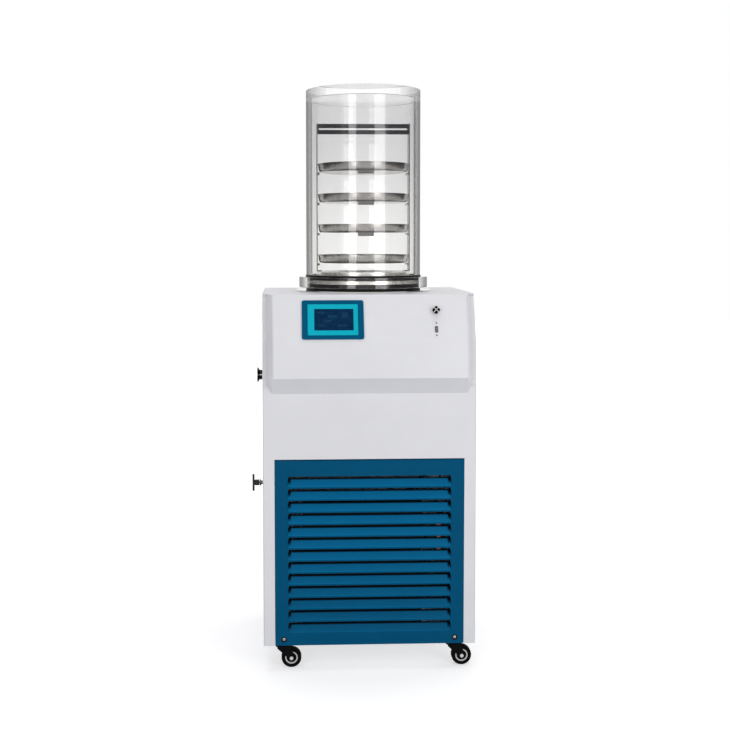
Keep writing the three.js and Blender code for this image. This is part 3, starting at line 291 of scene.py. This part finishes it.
def piece(name, bm, material, body="cabinet", edge=0.0, smooth=35, replaces=()):
    """Makes an object of the mesh, rounds its edges, and lets it ride on its body."""
    bmesh.ops.remove_doubles(bm, verts=bm.verts, dist=1e-6)
    bmesh.ops.recalc_face_normals(bm, faces=bm.faces)
    for face in bm.faces:
        face.smooth = True
    for e in bm.edges:
        e.smooth = len(e.link_faces) == 2 and e.calc_face_angle() < math.radians(smooth)
    mesh = bpy.data.meshes.new(name)
    bm.to_mesh(mesh)
    bm.free()
    mesh.materials.append(material)
    obj = bpy.data.objects.new(name, mesh)
    scene.collection.objects.link(obj)
    if edge:
        soften(obj, edge)
    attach(obj, body)
    if replaces:
        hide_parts(*replaces)
    return obj


def turned(profile, at, axis="z", steps=96, phase=0.0):
    """A revolved mesh. The profile's (radius, height) pairs are millimetres from `at`, which is metres."""
    bm = bmesh.new()
    closed = profile[0] == profile[-1]
    at = Vector(at)

    def point(r, h, a):
        u, v = r * math.cos(a) * MM, r * math.sin(a) * MM
        return at + Vector({"z": (u, v, h * MM), "x": (h * MM, u, v), "y": (u, h * MM, v)}[axis])

    rings = []
    for r, h in profile[:-1] if closed else profile:
        count = steps if r > 1e-6 else 1
        rings.append([bm.verts.new(point(r, h, phase + 2 * math.pi * i / steps)) for i in range(count)])
    for lower, upper in zip(rings, rings[1:] + (rings[:1] if closed else [])):
        for i in range(steps):
            j = (i + 1) % steps
            corners = [lower[i % len(lower)], lower[j % len(lower)], upper[j % len(upper)],
                       upper[i % len(upper)]]
            corners = list(dict.fromkeys(corners))
            if len(corners) > 2:
                bm.faces.new(corners)
    return bm


def prism(outline, depth, place):
    """Extrudes an outline (millimetres in its own plane, z outwards) by depth, then moves it by the matrix."""
    bm = bmesh.new()
    low = [bm.verts.new(place @ Vector((x * MM, y * MM, depth[0] * MM))) for x, y in outline]
    high = [bm.verts.new(place @ Vector((x * MM, y * MM, depth[1] * MM))) for x, y in outline]
    bm.faces.new(low[::-1])
    bm.faces.new(high)
    for i in range(len(outline)):
        j = (i + 1) % len(outline)
        bm.faces.new((low[i], low[j], high[j], high[i]))
    return bm


def rounded(width, height, radius, steps=6, at=(0, 0)):
    """The outline of a rectangle with rounded corners."""
    points = []
    for k, (sx, sy) in enumerate(((1, -1), (1, 1), (-1, 1), (-1, -1))):
        cx, cy = at[0] + sx * (width / 2 - radius), at[1] + sy * (height / 2 - radius)
        for i in range(steps + 1):
            a = math.radians(-90 + 90 * k + 90 * i / steps)
            points.append((cx + radius * math.cos(a), cy + radius * math.sin(a)))
    return points


def circle(radius, steps=48, at=(0, 0)):
    return [(at[0] + radius * math.cos(2 * math.pi * i / steps),
             at[1] + radius * math.sin(2 * math.pi * i / steps))
            for i in range(steps)]


def joined(*parts):
    """One mesh of several closed ones."""
    whole = parts[0]
    for part in parts[1:]:
        mesh = bpy.data.meshes.new("part")
        part.to_mesh(mesh)
        part.free()
        whole.from_mesh(mesh)
        bpy.data.meshes.remove(mesh)
    return whole


def frame_prism(outline, hole, depth, place):
    """A prism with a hole; both outlines have the same number of points."""
    bm = bmesh.new()
    loops = []
    for points in (outline, hole):
        for z in depth:
            loops.append([bm.verts.new(place @ Vector((x * MM, y * MM, z * MM))) for x, y in points])
    out_low, out_high, in_low, in_high = loops
    count = len(outline)
    for i in range(count):
        j = (i + 1) % count
        bm.faces.new((out_low[i], out_low[j], out_high[j], out_high[i]))
        bm.faces.new((in_low[j], in_low[i], in_high[i], in_high[j]))
        bm.faces.new((out_high[i], out_high[j], in_high[j], in_high[i]))
        bm.faces.new((out_low[j], out_low[i], in_low[i], in_low[j]))
    return bm


def sleeve(inner, outer, low, high):
    """The closed (radius, height) profile of a plain tube."""
    return [(inner, low), (outer, low), (outer, high), (inner, high), (inner, low)]


def mirrored(half):
    """A closed profile from its lower half; the upper half is its mirror image."""
    return half + [(r, -h) for r, h in reversed(half)] + half[:1]


def pan_head(radius, height):
    """The profile of a domed screw head."""
    ring = [(radius * math.cos(t), height * math.sin(t)) for t in (0, 0.35, 0.7, 1.05, 1.35)]
    return [(0, -1)] + [(radius, -1)] + ring + [(0, height)]


def spin_on(place, profile, steps=32):
    """Revolves a (radius, height) profile about the z axis of the matrix."""
    bm = turned(profile, (0, 0, 0), steps=steps)
    bm.transform(place)
    return bm


def cross_of(place, arm, width, depth):
    """A thin cross, such as the recess of a screw head."""
    bars = []
    for w, h in ((arm, width), (width, arm)):
        bars.append(prism([(-w / 2, -h / 2), (w / 2, -h / 2), (w / 2, h / 2), (-w / 2, h / 2)], depth, place))
    return joined(*bars)


def screw(name, place, radius, height, material, replaces=()):
    """A domed screw head with a dark cross, black plastic that is painted shade for the head's recess."""
    piece(name, spin_on(place, pan_head(radius, height)), material, replaces=replaces)
    # Painted shade: the black cross stands in for the shaded recess of the head.
    piece(name + "_cross", cross_of(place, radius * 1.1, radius * 0.26, (height * 0.5, height + 0.06)),
          PLASTIC)


def middle(node):
    lo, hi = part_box(node)
    return (lo + hi) / 2


def height_of(node):
    lo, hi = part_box(node)
    return (hi.z - lo.z) / MM


drum = middle("drum_tube")


def foot_of(node):
    """The point on the drum's axis at the height of the node's foot."""
    return (drum.x, drum.y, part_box(node)[0].z)


# ------------------------------------------------------------------ nodes kept from the CAD
EDGES = {"white_paint": 0.0006, "blue_paint": 0.0004, "zinc": 0.0003, "screen_frame": 0.0008,
         "rack_steel": 0.0004}
OTHER_EDGE = 0.00025
FLAT_SHADED = ("left_side_panel", "right_side_panel")


def dress(name, node):
    """A kept node keeps its shape: its split vertices are welded for shading, and its edges are softened."""
    slot = next(part["material_slot"] for part in frame["record"]["subparts"] if part["node"] == name)
    node.data.materials.clear()
    node.data.materials.append(NODE_MATERIALS.get(name, SLOT_MATERIALS[slot]))
    if "custom_normal" in node.data.attributes:
        node.data.attributes.remove(node.data.attributes["custom_normal"])
    smooth = name not in FLAT_SHADED
    for polygon in node.data.polygons:
        polygon.use_smooth = smooth
    weld = node.modifiers.new("weld", "WELD")
    weld.merge_threshold = 0.00001
    soften(node, EDGES.get(slot, OTHER_EDGE))
    node.modifiers["edge"].harden_normals = smooth


for name, node in frame["nodes"].items():
    dress(name, node)


# ------------------------------------------------------------------ louvre panel
LOUVRE_COUNT, LOUVRE_PITCH = 13, 0.0303
LOUVRE_REACH = 0.199            # from the panel's middle to a louvre's end
FIRST_TOP, LIFT = 0.485, 0.0049    # the first louvre's top on the CAD's sheet, and how much higher it goes
BLADE_FOOT = 0.0258             # down from a louvre's top
STEEPER = 0.65                  # the share by which a louvre's end wall is drawn out to its reach


def louvre_paint_light_and_shade(front, top, centre):
    """Petrol paint with painted light and shade: painted shadow deep in the pressed pockets, at their ends and
    at the sheet's top edge, painted light on the leaning blades and a painted highlight along the fold at each
    blade's foot."""
    material = finish("petrol_paint_with_painted_light", (0.0, 0.078, 0.176), 0.45, tone=0.03, grain=0.0011, bump=0.18,
                      Specular_IOR_Level=0.04)
    n = Nodes(material.node_tree)
    at = n.add("ShaderNodeSeparateXYZ", {"Vector": n.coords()}).outputs
    turn = n.add("ShaderNodeSeparateXYZ",
                 {"Vector": n.add("ShaderNodeNewGeometry").outputs["Normal"]}).outputs

    def sum_of(operation, *values):
        return n.add("ShaderNodeMath", dict(enumerate(values)), operation=operation).outputs[0]

    def tone(value, start, end, low, high):
        inputs = {"Value": value, "From Min": start, "From Max": end, "To Min": low, "To Max": high}
        return n.add("ShaderNodeMapRange", inputs, interpolation_type="SMOOTHSTEP").outputs[0]

    def product(*factors):
        whole = factors[0]
        for factor in factors[1:]:
            whole = sum_of("MULTIPLY", whole, factor)
        return whole

    first = FIRST_TOP + LIFT
    last = first - LOUVRE_COUNT * LOUVRE_PITCH + 0.002
    # Painted shadow deep in each pressed pocket, under the sheet above it.
    pocket_shadow = tone(at["Y"], front + 0.0076, front + 0.0092, 1, 0.02)
    # Painted shade on the pockets' end walls, which turn sideways inside the pocket.
    inside = tone(at["Y"], front + 0.0008, front + 0.0030, 0, 1)
    ends = tone(product(sum_of("ABSOLUTE", turn["X"]), inside), 0.2, 0.6, 1, 0.06)
    # Painted light: blades that lean upwards are made lighter, less so low on the panel.
    leaning = tone(turn["Z"], 0.2, 0.4, 0, 1)
    lit = tone(product(leaning, tone(at["Z"], 0.10, 0.40, 0.35, 1)), 0, 1, 1, 1.6)
    # Painted shadow along the sheet's top edge, for the gap above it.
    rim = tone(at["Z"], top - 0.0030, top - 0.0018, 1, 0.5)
    step = sum_of("MODULO", sum_of("SUBTRACT", first, at["Z"]), LOUVRE_PITCH)
    side = sum_of("ABSOLUTE", sum_of("SUBTRACT", at["X"], centre))
    louvred = sum_of("COMPARE", at["Z"], (first + last) / 2, (first - last) / 2 + 0.0005)
    blade_end = tone(side, LOUVRE_REACH - 0.0060, LOUVRE_REACH - 0.0045, 0, 1)
    blade = sum_of("SUBTRACT", 1, blade_end)
    # Painted highlight along the fold at each blade's foot.
    foot_highlight = tone(product(sum_of("COMPARE", step, BLADE_FOOT, 0.0010), louvred, blade), 0, 1, 1, 1.22)
    # Painted shade at the blades' ends, strongest near each louvre's top and fading towards its foot.
    strip = product(blade_end, tone(side, LOUVRE_REACH, LOUVRE_REACH + 0.0015, 1, 0), louvred)
    shadow = tone(product(strip, tone(step, 0.010, 0.025, 1, 0)), 0, 1, 1, 0.04)
    times(material, product(pocket_shadow, ends, lit, rim, foot_highlight, shadow))
    return material


def louvre_sheet():
    """The pressed panel, with its louvres a little higher up the sheet and their ends steeper."""
    low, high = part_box("louvre_panel")
    centre = (low.x + high.x) / 2
    bm = bmesh.new()
    bm.from_mesh(frame["nodes"]["louvre_panel"].data)
    for vertex in bm.verts:
        off = vertex.co.x - centre
        in_field = low.z + 0.025 < vertex.co.z < high.z - 0.04
        if in_field and abs(off) < LOUVRE_REACH + 0.006:
            vertex.co.z += LIFT
            short = LOUVRE_REACH - abs(off)
            if 0 < short < 0.014:
                vertex.co.x += math.copysign(STEEPER * short, off)
    paint = louvre_paint_light_and_shade(low.y, high.z, centre)
    piece("louvre_panel_sheet", bm, paint, edge=0.0003, smooth=20, replaces=["louvre_panel"])


louvre_sheet()


# ------------------------------------------------------------------ drum, seals and cold trap, in millimetres
TUBE_OUT, TUBE_IN = 150, 142
FLANGE_OUT, FLANGE_IN = 168.5, 148
SEAL_FIT = 147.7    # the seals' radius where they enter the flange ring
DROP = 2.7          # the tube's foot and the tops of the gasket and the flange ring are lower than the solids'


def drum_pieces():
    """Clear tube, lid and flange ring."""
    tube = sleeve(TUBE_IN, TUBE_OUT, -DROP, height_of("drum_tube"))
    lid_h = height_of("drum_lid")
    lid = [(0, 0), (TUBE_OUT, 0), (TUBE_OUT, lid_h), (0, lid_h)]
    ring = sleeve(FLANGE_IN, FLANGE_OUT, 0, height_of("base_ring") - DROP)
    for name, node, profile, material, edge in (("drum_wall", "drum_tube", tube, ACRYLIC, 0.0005),
                                                ("drum_lid_disc", "drum_lid", lid, LID_ACRYLIC, 0.0012),
                                                ("base_ring_clear", "base_ring", ring, FLANGE_ACRYLIC,
                                                 0.0008)):
        clear = piece(name, turned(profile, foot_of(node), steps=160), material, edge=edge,
                      replaces=[node])
        clear.visible_shadow = False


def seal_pieces():
    """The stepped gasket under the tube, and the stepped seal on the trap's brim."""
    top = height_of("drum_gasket") - DROP
    lip = top - 4
    gasket = [(139, 0), (SEAL_FIT, 0), (SEAL_FIT, lip), (152, lip), (152, top), (139, top), (139, 0)]
    piece("drum_gasket_ring", turned(gasket, foot_of("drum_gasket"), steps=120), RUBBER,
          edge=0.0006, replaces=["drum_gasket"])
    top = height_of("trap_seal")
    seal = [(128, 0), (150.6, 0), (150.6, 6.5), (SEAL_FIT, 6.5), (SEAL_FIT, top), (128, top), (128, 0)]
    piece("trap_seal_ring", turned(seal, foot_of("trap_seal"), steps=120), RUBBER,
          edge=0.0006, replaces=["trap_seal"])


def trap_pot():
    """The drawn pot with its wide brim."""
    top = height_of("trap_pot")
    sheet, brim = 2.7, 178
    pot = [(0, 0), (116, 0), (118, 0.5), (119.5, 2), (120, 4), (120, top - sheet), (brim - 0.6, top - sheet),
           (brim, top - sheet / 2), (brim - 0.6, top), (121.5, top), (118, top - 3.5), (118, 5), (117, 3),
           (115, 2), (0, 2)]
    piece("trap_pot_drawn", turned(pot, foot_of("trap_pot"), steps=120), POLISHED,
          replaces=["trap_pot"])


drum_pieces()
seal_pieces()
trap_pot()


# ------------------------------------------------------------------ tray rack, in millimetres
TRAY_HEIGHT = 22
TRAY = [(0, 0), (109, 0), (112.5, 0.7), (115.3, 3), (116.6, 6.2), (118.6, 20.6), (119.5, 20.6),
        (119.5, TRAY_HEIGHT), (117.9, TRAY_HEIGHT), (117.6, 20.4), (115.5, 6.4), (114.2, 3.7), (111.8, 1.8),
        (108.8, 1.2), (0, 1.2)]
TAB_AT, TAB_HALF = 109.3, 20    # the tab's distance in front of the drum's axis, and half its width
CURL = [(0, 0.8), (-1.2, 0.8), (-1.2, -5.6), (-2.2, -7.8), (-4, -8.6), (-7, -8.9), (-7, -7.7), (-4.3, -7.4),
        (-3.3, -6.7), (-2.4, -5.4), (0, -0.2)]


def rack_foot():
    """The spun foot plate with its vapour hole and its rim between the seals."""
    hole, rim = 66, 147
    top = height_of("rack_base")
    plate = [(hole, top - 1.5), (120.5, top - 1.5), (121.5, top - 2.6), (121.5, 0), (rim, 0), (rim, 8.4),
             (123, 8.4), (123, top - 1.6), (121.4, top), (hole, top), (hole, top - 1.5)]
    piece("rack_foot_plate", turned(plate, foot_of("rack_base"), steps=120), RIM_STEEL,
          edge=0.0003, replaces=["rack_base"])


def tray(name):
    """A pressed round tray; where the node reaches below its floor, it has a finger tab in front."""
    lo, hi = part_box(name)
    floor = hi.z - TRAY_HEIGHT * MM
    piece(f"{name}_pan", turned(TRAY, (drum.x, drum.y, floor), steps=120), RACK,
          replaces=[name])
    if lo.z < floor - 0.002:
        across = Matrix(((0, 0, 1), (1, 0, 0), (0, 1, 0))).to_4x4()
        place = Matrix.Translation((drum.x, drum.y - TAB_AT * MM, floor)) @ across
        piece(f"{name}_tab", prism(CURL, (-TAB_HALF, TAB_HALF), place), RACK, edge=0.0002)


rack_foot()
for number in (1, 2, 3, 4):
    tray(f"tray_{number}")


# ------------------------------------------------------------------ instrument face
# x runs right, y up the slope and z out of the face, in millimetres.
LEAN = math.atan2(46, 115)
FACE = Matrix(((1, 0, 0, 0.015), (0, math.sin(LEAN), -math.cos(LEAN), -0.1948),
               (0, math.cos(LEAN), math.sin(LEAN), 0.936), (0, 0, 0, 1)))
BORDER_AT, PICTURE_AT = (-91, -65), (-88.4, -65)
FIELDS = [(-119, -47, 18, 5), (-91, -57, 22, 8), (-104, -68, 20, 6), (-62, -54, 16, 14), (-68, -80, 22, 5),
          (-118, -80, 14, 5)]    # middle x and y, width and height
USB_X, USB_Y = 160, -90


def proud_of_face(node):
    """How far the node stands out of the instrument face, in millimetres."""
    obj = frame["nodes"][node]
    back = FACE.inverted() @ obj.matrix_world
    return max((back @ v.co).z for v in obj.data.vertices) / MM


def display():
    """A cyan border plate, and the navy picture area with a few plain fields."""
    front = proud_of_face("screen_glass")
    border = prism(rounded(122, 79, 1.2, at=BORDER_AT), (front - 2, front - 0.25), FACE)
    piece("display_border", border, DISPLAY_EDGE, edge=0.0002, replaces=["screen_glass"])
    picture = prism(rounded(95, 54.6, 0.6, at=PICTURE_AT), (front - 1, front - 0.05), FACE)
    piece("display_picture", picture, DISPLAY, edge=0.00005)
    fields = [prism(rounded(w, h, 0.8, 3, at=(x, y)), (front - 0.5, front), FACE) for x, y, w, h in FIELDS]
    piece("display_fields", joined(*fields), DISPLAY_FIELD)


def usb_socket():
    """A flange painted like the panel, a grey shell round a paler tongue, and two screws."""
    at = (USB_X, USB_Y)
    flange = prism(rounded(12, 42, 3, at=at), (0.1, min(proud_of_face("usb_socket"), 1.1)), FACE)
    piece("usb_flange", flange, WHITE, edge=0.0003, replaces=["usb_socket"])
    mouth = rounded(5.2, 13.8, 0.6, at=at)
    shell = frame_prism(rounded(7.4, 16, 1.2, at=at), mouth, (-6, 1.7), FACE)
    piece("usb_shell", shell, SOCKET_GREY, edge=0.0001)
    tongue = [prism(rounded(2.2, 2.6, 0.3, at=(USB_X + 0.8, USB_Y + v)), (-1, 1.5), FACE) for v in (-3, 2.5)]
    piece("usb_tongue", joined(*tongue), TONGUE_GREY)
    piece("usb_throat", prism(mouth, (-2, 1.2), FACE), SOCKET_GREY)
    for label, v in (("upper", -74), ("lower", -105)):
        place = FACE @ Matrix.Translation((USB_X * MM, v * MM, 0.0011))
        screw(f"usb_screw_{label}", place, 1.9, 0.7, SOCKET_GREY)


def vent_knob():
    """Four dark lobes on the knob, parted by a pale cross."""
    knob = FACE.inverted() @ middle("vent_knob")
    top = proud_of_face("vent_knob")
    lobes = [prism(circle(4.3, 32, (knob.x / MM + x, knob.y / MM + y)), (top - 6, top), FACE)
             for x, y in ((5, 0), (0, 5), (-5, 0), (0, -5))]
    piece("vent_knob_lobes", joined(*lobes), CASTER_BLACK, "vent_knob", edge=0.0004)
    seat = FACE @ Matrix.Translation((knob.x, knob.y, 0)) @ Matrix.Rotation(math.radians(45), 4, "Z")
    cross = cross_of(seat, 19, 1.7, (top - 0.4, top + 0.1))
    piece("vent_knob_cross", cross, HUB_GREY, "vent_knob")


display()
usb_socket()
vent_knob()


# ------------------------------------------------------------------ screws of the louvre panel and the back
FORWARD = Matrix(((1, 0, 0), (0, 0, -1), (0, 1, 0))).to_4x4()
BACKWARD = Matrix(((-1, 0, 0), (0, 0, 1), (0, 1, 0))).to_4x4()
DIMPLE_SHADE_RING = [(3.6, -0.6), (5.8, -0.6), (5.8, 2.2), (7.3, 2.25), (7.3, 2.5), (5.7, 2.5), (4.1, 0.3), (3.6, 0.3),
          (3.6, -0.6)]


def louvre_screw(node):
    """A black ring in the dimple and round its edge, painted shade for the dark dimple, and a domed plated
    head.
    """
    centre = middle(node)
    seat = Matrix.Translation((centre.x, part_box(node)[0].y + 0.0019, centre.z)) @ FORWARD
    # Painted shade: a black ring fills the dimple where shade falls.
    piece(f"{node}_dimple_shade", spin_on(seat, DIMPLE_SHADE_RING, 40), RUBBER)
    screw(f"{node}_head", seat, 3.7, 1.9, BRIGHT, replaces=[node])


def back_screws():
    """Three screws up each edge of the back panel."""
    low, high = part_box("back_panel")
    for column, x in (("left", low.x + 0.010), ("right", high.x - 0.010)):
        for row, z in (("low", low.z + 0.03), ("middle", (low.z + high.z) / 2), ("high", high.z - 0.03)):
            place = Matrix.Translation((x, high.y - 0.0001, z)) @ BACKWARD
            screw(f"back_screw_{column}_{row}", place, 3.4, 1.5, BRIGHT)


louvre_screw("louvre_screw_left")
louvre_screw("louvre_screw_right")
back_screws()


# ------------------------------------------------------------------ casters, in millimetres
TYRE_PROFILE = mirrored([(15.7, -9.0), (17, -9.8), (22, -10), (24.2, -8.8), (25, -6.8)])
RIM_PROFILE = mirrored([(12.6, -9.0), (13.2, -9.6), (15.1, -9.6), (15.6, -9.0)])
HUB_PROFILE = mirrored([(4.12, -8.6), (6.5, -8.6), (7.5, -6.6), (12.5, -6.6)])
NUT_PROFILE = [(0, 0), (4.6, 0), (4.6, 1.6), (4.0, 2.4), (3.0, 3.0), (0, 3.2)]
FORK_SIDE = 13.3    # from the wheel's middle to the outer side of the fork


def caster(corner):
    """Tyre, pale rim ring and dark hub on the wheel, and a bright nut on each end of the axle."""
    node = f"caster_{corner}_wheel"
    wheel = middle(node)
    for part, profile, material, replaced in (("tyre", TYRE_PROFILE, TYRE, [node]),
                                              ("rim", RIM_PROFILE, HUB_GREY, []),
                                              ("hub", HUB_PROFILE, CASTER_BLACK, [])):
        piece(f"caster_{corner}_{part}", turned(profile, wheel, "y", 72), material,
              f"wheel_{corner}",
              replaces=replaced)
    for label, sign, sides in (("front", -1, 32), ("back", 1, 6)):
        profile = [(r, sign * (FORK_SIDE + h)) for r, h in NUT_PROFILE]
        piece(f"caster_{corner}_nut_{label}", turned(profile, wheel, "y", sides), BRIGHT,
              f"fork_{corner}", edge=0.0003)


for corner in ("front_left", "front_right", "rear_left", "rear_right"):
    caster(corner)


# ------------------------------------------------------------------ stage
def stage_mesh(name, corners, faces, material):
    mesh = bpy.data.meshes.new(name)
    mesh.from_pydata(corners, [], faces)
    mesh.materials.append(material)
    obj = bpy.data.objects.new(name, mesh)
    scene.collection.objects.link(obj)
    return obj


def floor_material():
    """A pale floor that keeps a soft shadow, and shows as white to the camera, to metal and through glass."""
    material = bpy.data.materials.new("studio_floor")
    material.use_nodes = True
    n = Nodes(material.node_tree)
    shader = material.node_tree.nodes["Principled BSDF"]
    tone = n.spread(n.noise(n.coords(), 0.5), 0, 1)
    material.node_tree.links.new(n.blend(tone, (0.70, 0.70, 0.71), (0.73, 0.73, 0.74)),
                                 shader.inputs["Base Color"])
    shader.inputs["Roughness"].default_value = 0.9
    shader.inputs["Specular IOR Level"].default_value = 0.1
    path = n.add("ShaderNodeLightPath").outputs
    seen = path["Is Camera Ray"]
    for other in ("Is Glossy Ray", "Is Transmission Ray"):
        seen = n.add("ShaderNodeMath", {0: seen, 1: path[other]}, operation="MAXIMUM").outputs[0]
    away = n.add("ShaderNodeVectorMath", {0: n.coords()}, operation="LENGTH").outputs["Value"]
    lift = n.add("ShaderNodeMapRange", {"Value": away, "From Min": 0.8, "From Max": 3.5, "To Min": 0.5,
                                        "To Max": 1.0}).outputs[0]
    glow = n.add("ShaderNodeMath", {0: seen, 1: lift}, operation="MULTIPLY").outputs[0]
    light = n.add("ShaderNodeEmission", {"Color": (1, 1, 1, 1), "Strength": glow})
    both = n.add("ShaderNodeAddShader", {0: shader.outputs[0], 1: light.outputs[0]})
    output = material.node_tree.nodes["Material Output"]
    material.node_tree.links.new(both.outputs[0], output.inputs["Surface"])
    return material


stage_mesh("floor", [(-12, -12, 0), (12, -12, 0), (12, 12, 0), (-12, 12, 0)], [(0, 1, 2, 3)],
           floor_material())


def around(azimuth, distance, z):
    """A point round the drum's axis: azimuth 0 is in front (-Y), positive to the right."""
    a = math.radians(azimuth)
    return (drum.x + distance * math.sin(a), drum.y - distance * math.cos(a), z)


def screen_wall(name, azimuths, distance, heights, grey):
    """A curved grey screen beside the studio, which only reflections and refractions meet."""
    material = bpy.data.materials.new(name)
    material.use_nodes = True
    n = Nodes(material.node_tree)
    material.node_tree.nodes.remove(material.node_tree.nodes["Principled BSDF"])
    tone = n.spread(n.noise(n.coords(), 1.5), grey * 0.95, grey * 1.05)
    light = n.add("ShaderNodeEmission", {"Color": (1, 1, 1, 1), "Strength": tone})
    output = material.node_tree.nodes["Material Output"]
    material.node_tree.links.new(light.outputs[0], output.inputs["Surface"])
    start, end = azimuths
    steps = max(2, int(abs(end - start) / 10))
    corners, faces = [], []
    for i in range(steps + 1):
        azimuth = start + (end - start) * i / steps
        corners += [around(azimuth, distance, heights[0]), around(azimuth, distance, heights[1])]
    for i in range(steps):
        faces.append((2 * i, 2 * i + 2, 2 * i + 3, 2 * i + 1))
    wall = stage_mesh(name, corners, faces, material)
    wall.visible_camera = wall.visible_diffuse = wall.visible_shadow = False


screen_wall("screen_front", (-48, 48), 6.0, (0.02, 4.5), 0.50)
screen_wall("screen_left", (-48, -124), 5.0, (0.02, 4.0), 0.12)
screen_wall("screen_right", (48, 124), 5.0, (0.02, 4.0), 0.12)


def studio_world(fill):
    """A soft even fill, which the camera, metal and glass see as plain white."""
    scene.world = bpy.data.worlds.new("studio")
    scene.world.use_nodes = True
    tree = scene.world.node_tree
    tree.nodes.clear()
    n = Nodes(tree)
    path = n.add("ShaderNodeLightPath")
    seen = path.outputs["Is Camera Ray"]
    for other in ("Is Glossy Ray", "Is Transmission Ray"):
        seen = n.add("ShaderNodeMath", {0: seen, 1: path.outputs[other]}, operation="MAXIMUM").outputs[0]
    soft = n.add("ShaderNodeBackground", {"Color": (0.985, 0.99, 1, 1), "Strength": fill})
    plain = n.add("ShaderNodeBackground", {"Color": (1, 1, 1, 1), "Strength": 1.0})
    mix = n.add("ShaderNodeMixShader", {0: seen, 1: soft.outputs[0], 2: plain.outputs[0]})
    n.add("ShaderNodeOutputWorld", {"Surface": mix.outputs[0]})


studio_world(0.46)


def softbox(name, at, aim, size, radiance):
    """A rectangular lamp of a given radiance, facing its aim."""
    data = bpy.data.lights.new(name, "AREA")
    data.shape, data.size, data.size_y = "RECTANGLE", size[0], size[1]
    data.energy = radiance * math.pi * size[0] * size[1]
    lamp = bpy.data.objects.new(name, data)
    lamp.location = at
    lamp.rotation_euler = (Vector(aim) - Vector(at)).to_track_quat("-Z", "Y").to_euler()
    scene.collection.objects.link(lamp)
    return lamp


for name, azimuth, width in (("strip_left", -24.5, 0.70), ("strip_right", 29.5, 1.02)):
    softbox(name, around(azimuth, 2.7, 1.3), aim=(drum.x, drum.y, 1.3), size=(width, 2.2), radiance=2.9)
overhead = softbox("overhead", (0, 0.2, 3.4), aim=(0, 0.1, 0), size=(2.6, 2.6), radiance=1.4)
overhead.visible_transmission = False
for azimuth, radiance in ((-112, 0.5), (112, 1.1)):
    fill = softbox("fill", around(azimuth, 3.2, 1.2), aim=(drum.x, drum.y, 0.8), size=(1.5, 2.4),
                   radiance=radiance)
    fill.visible_glossy = fill.visible_transmission = False
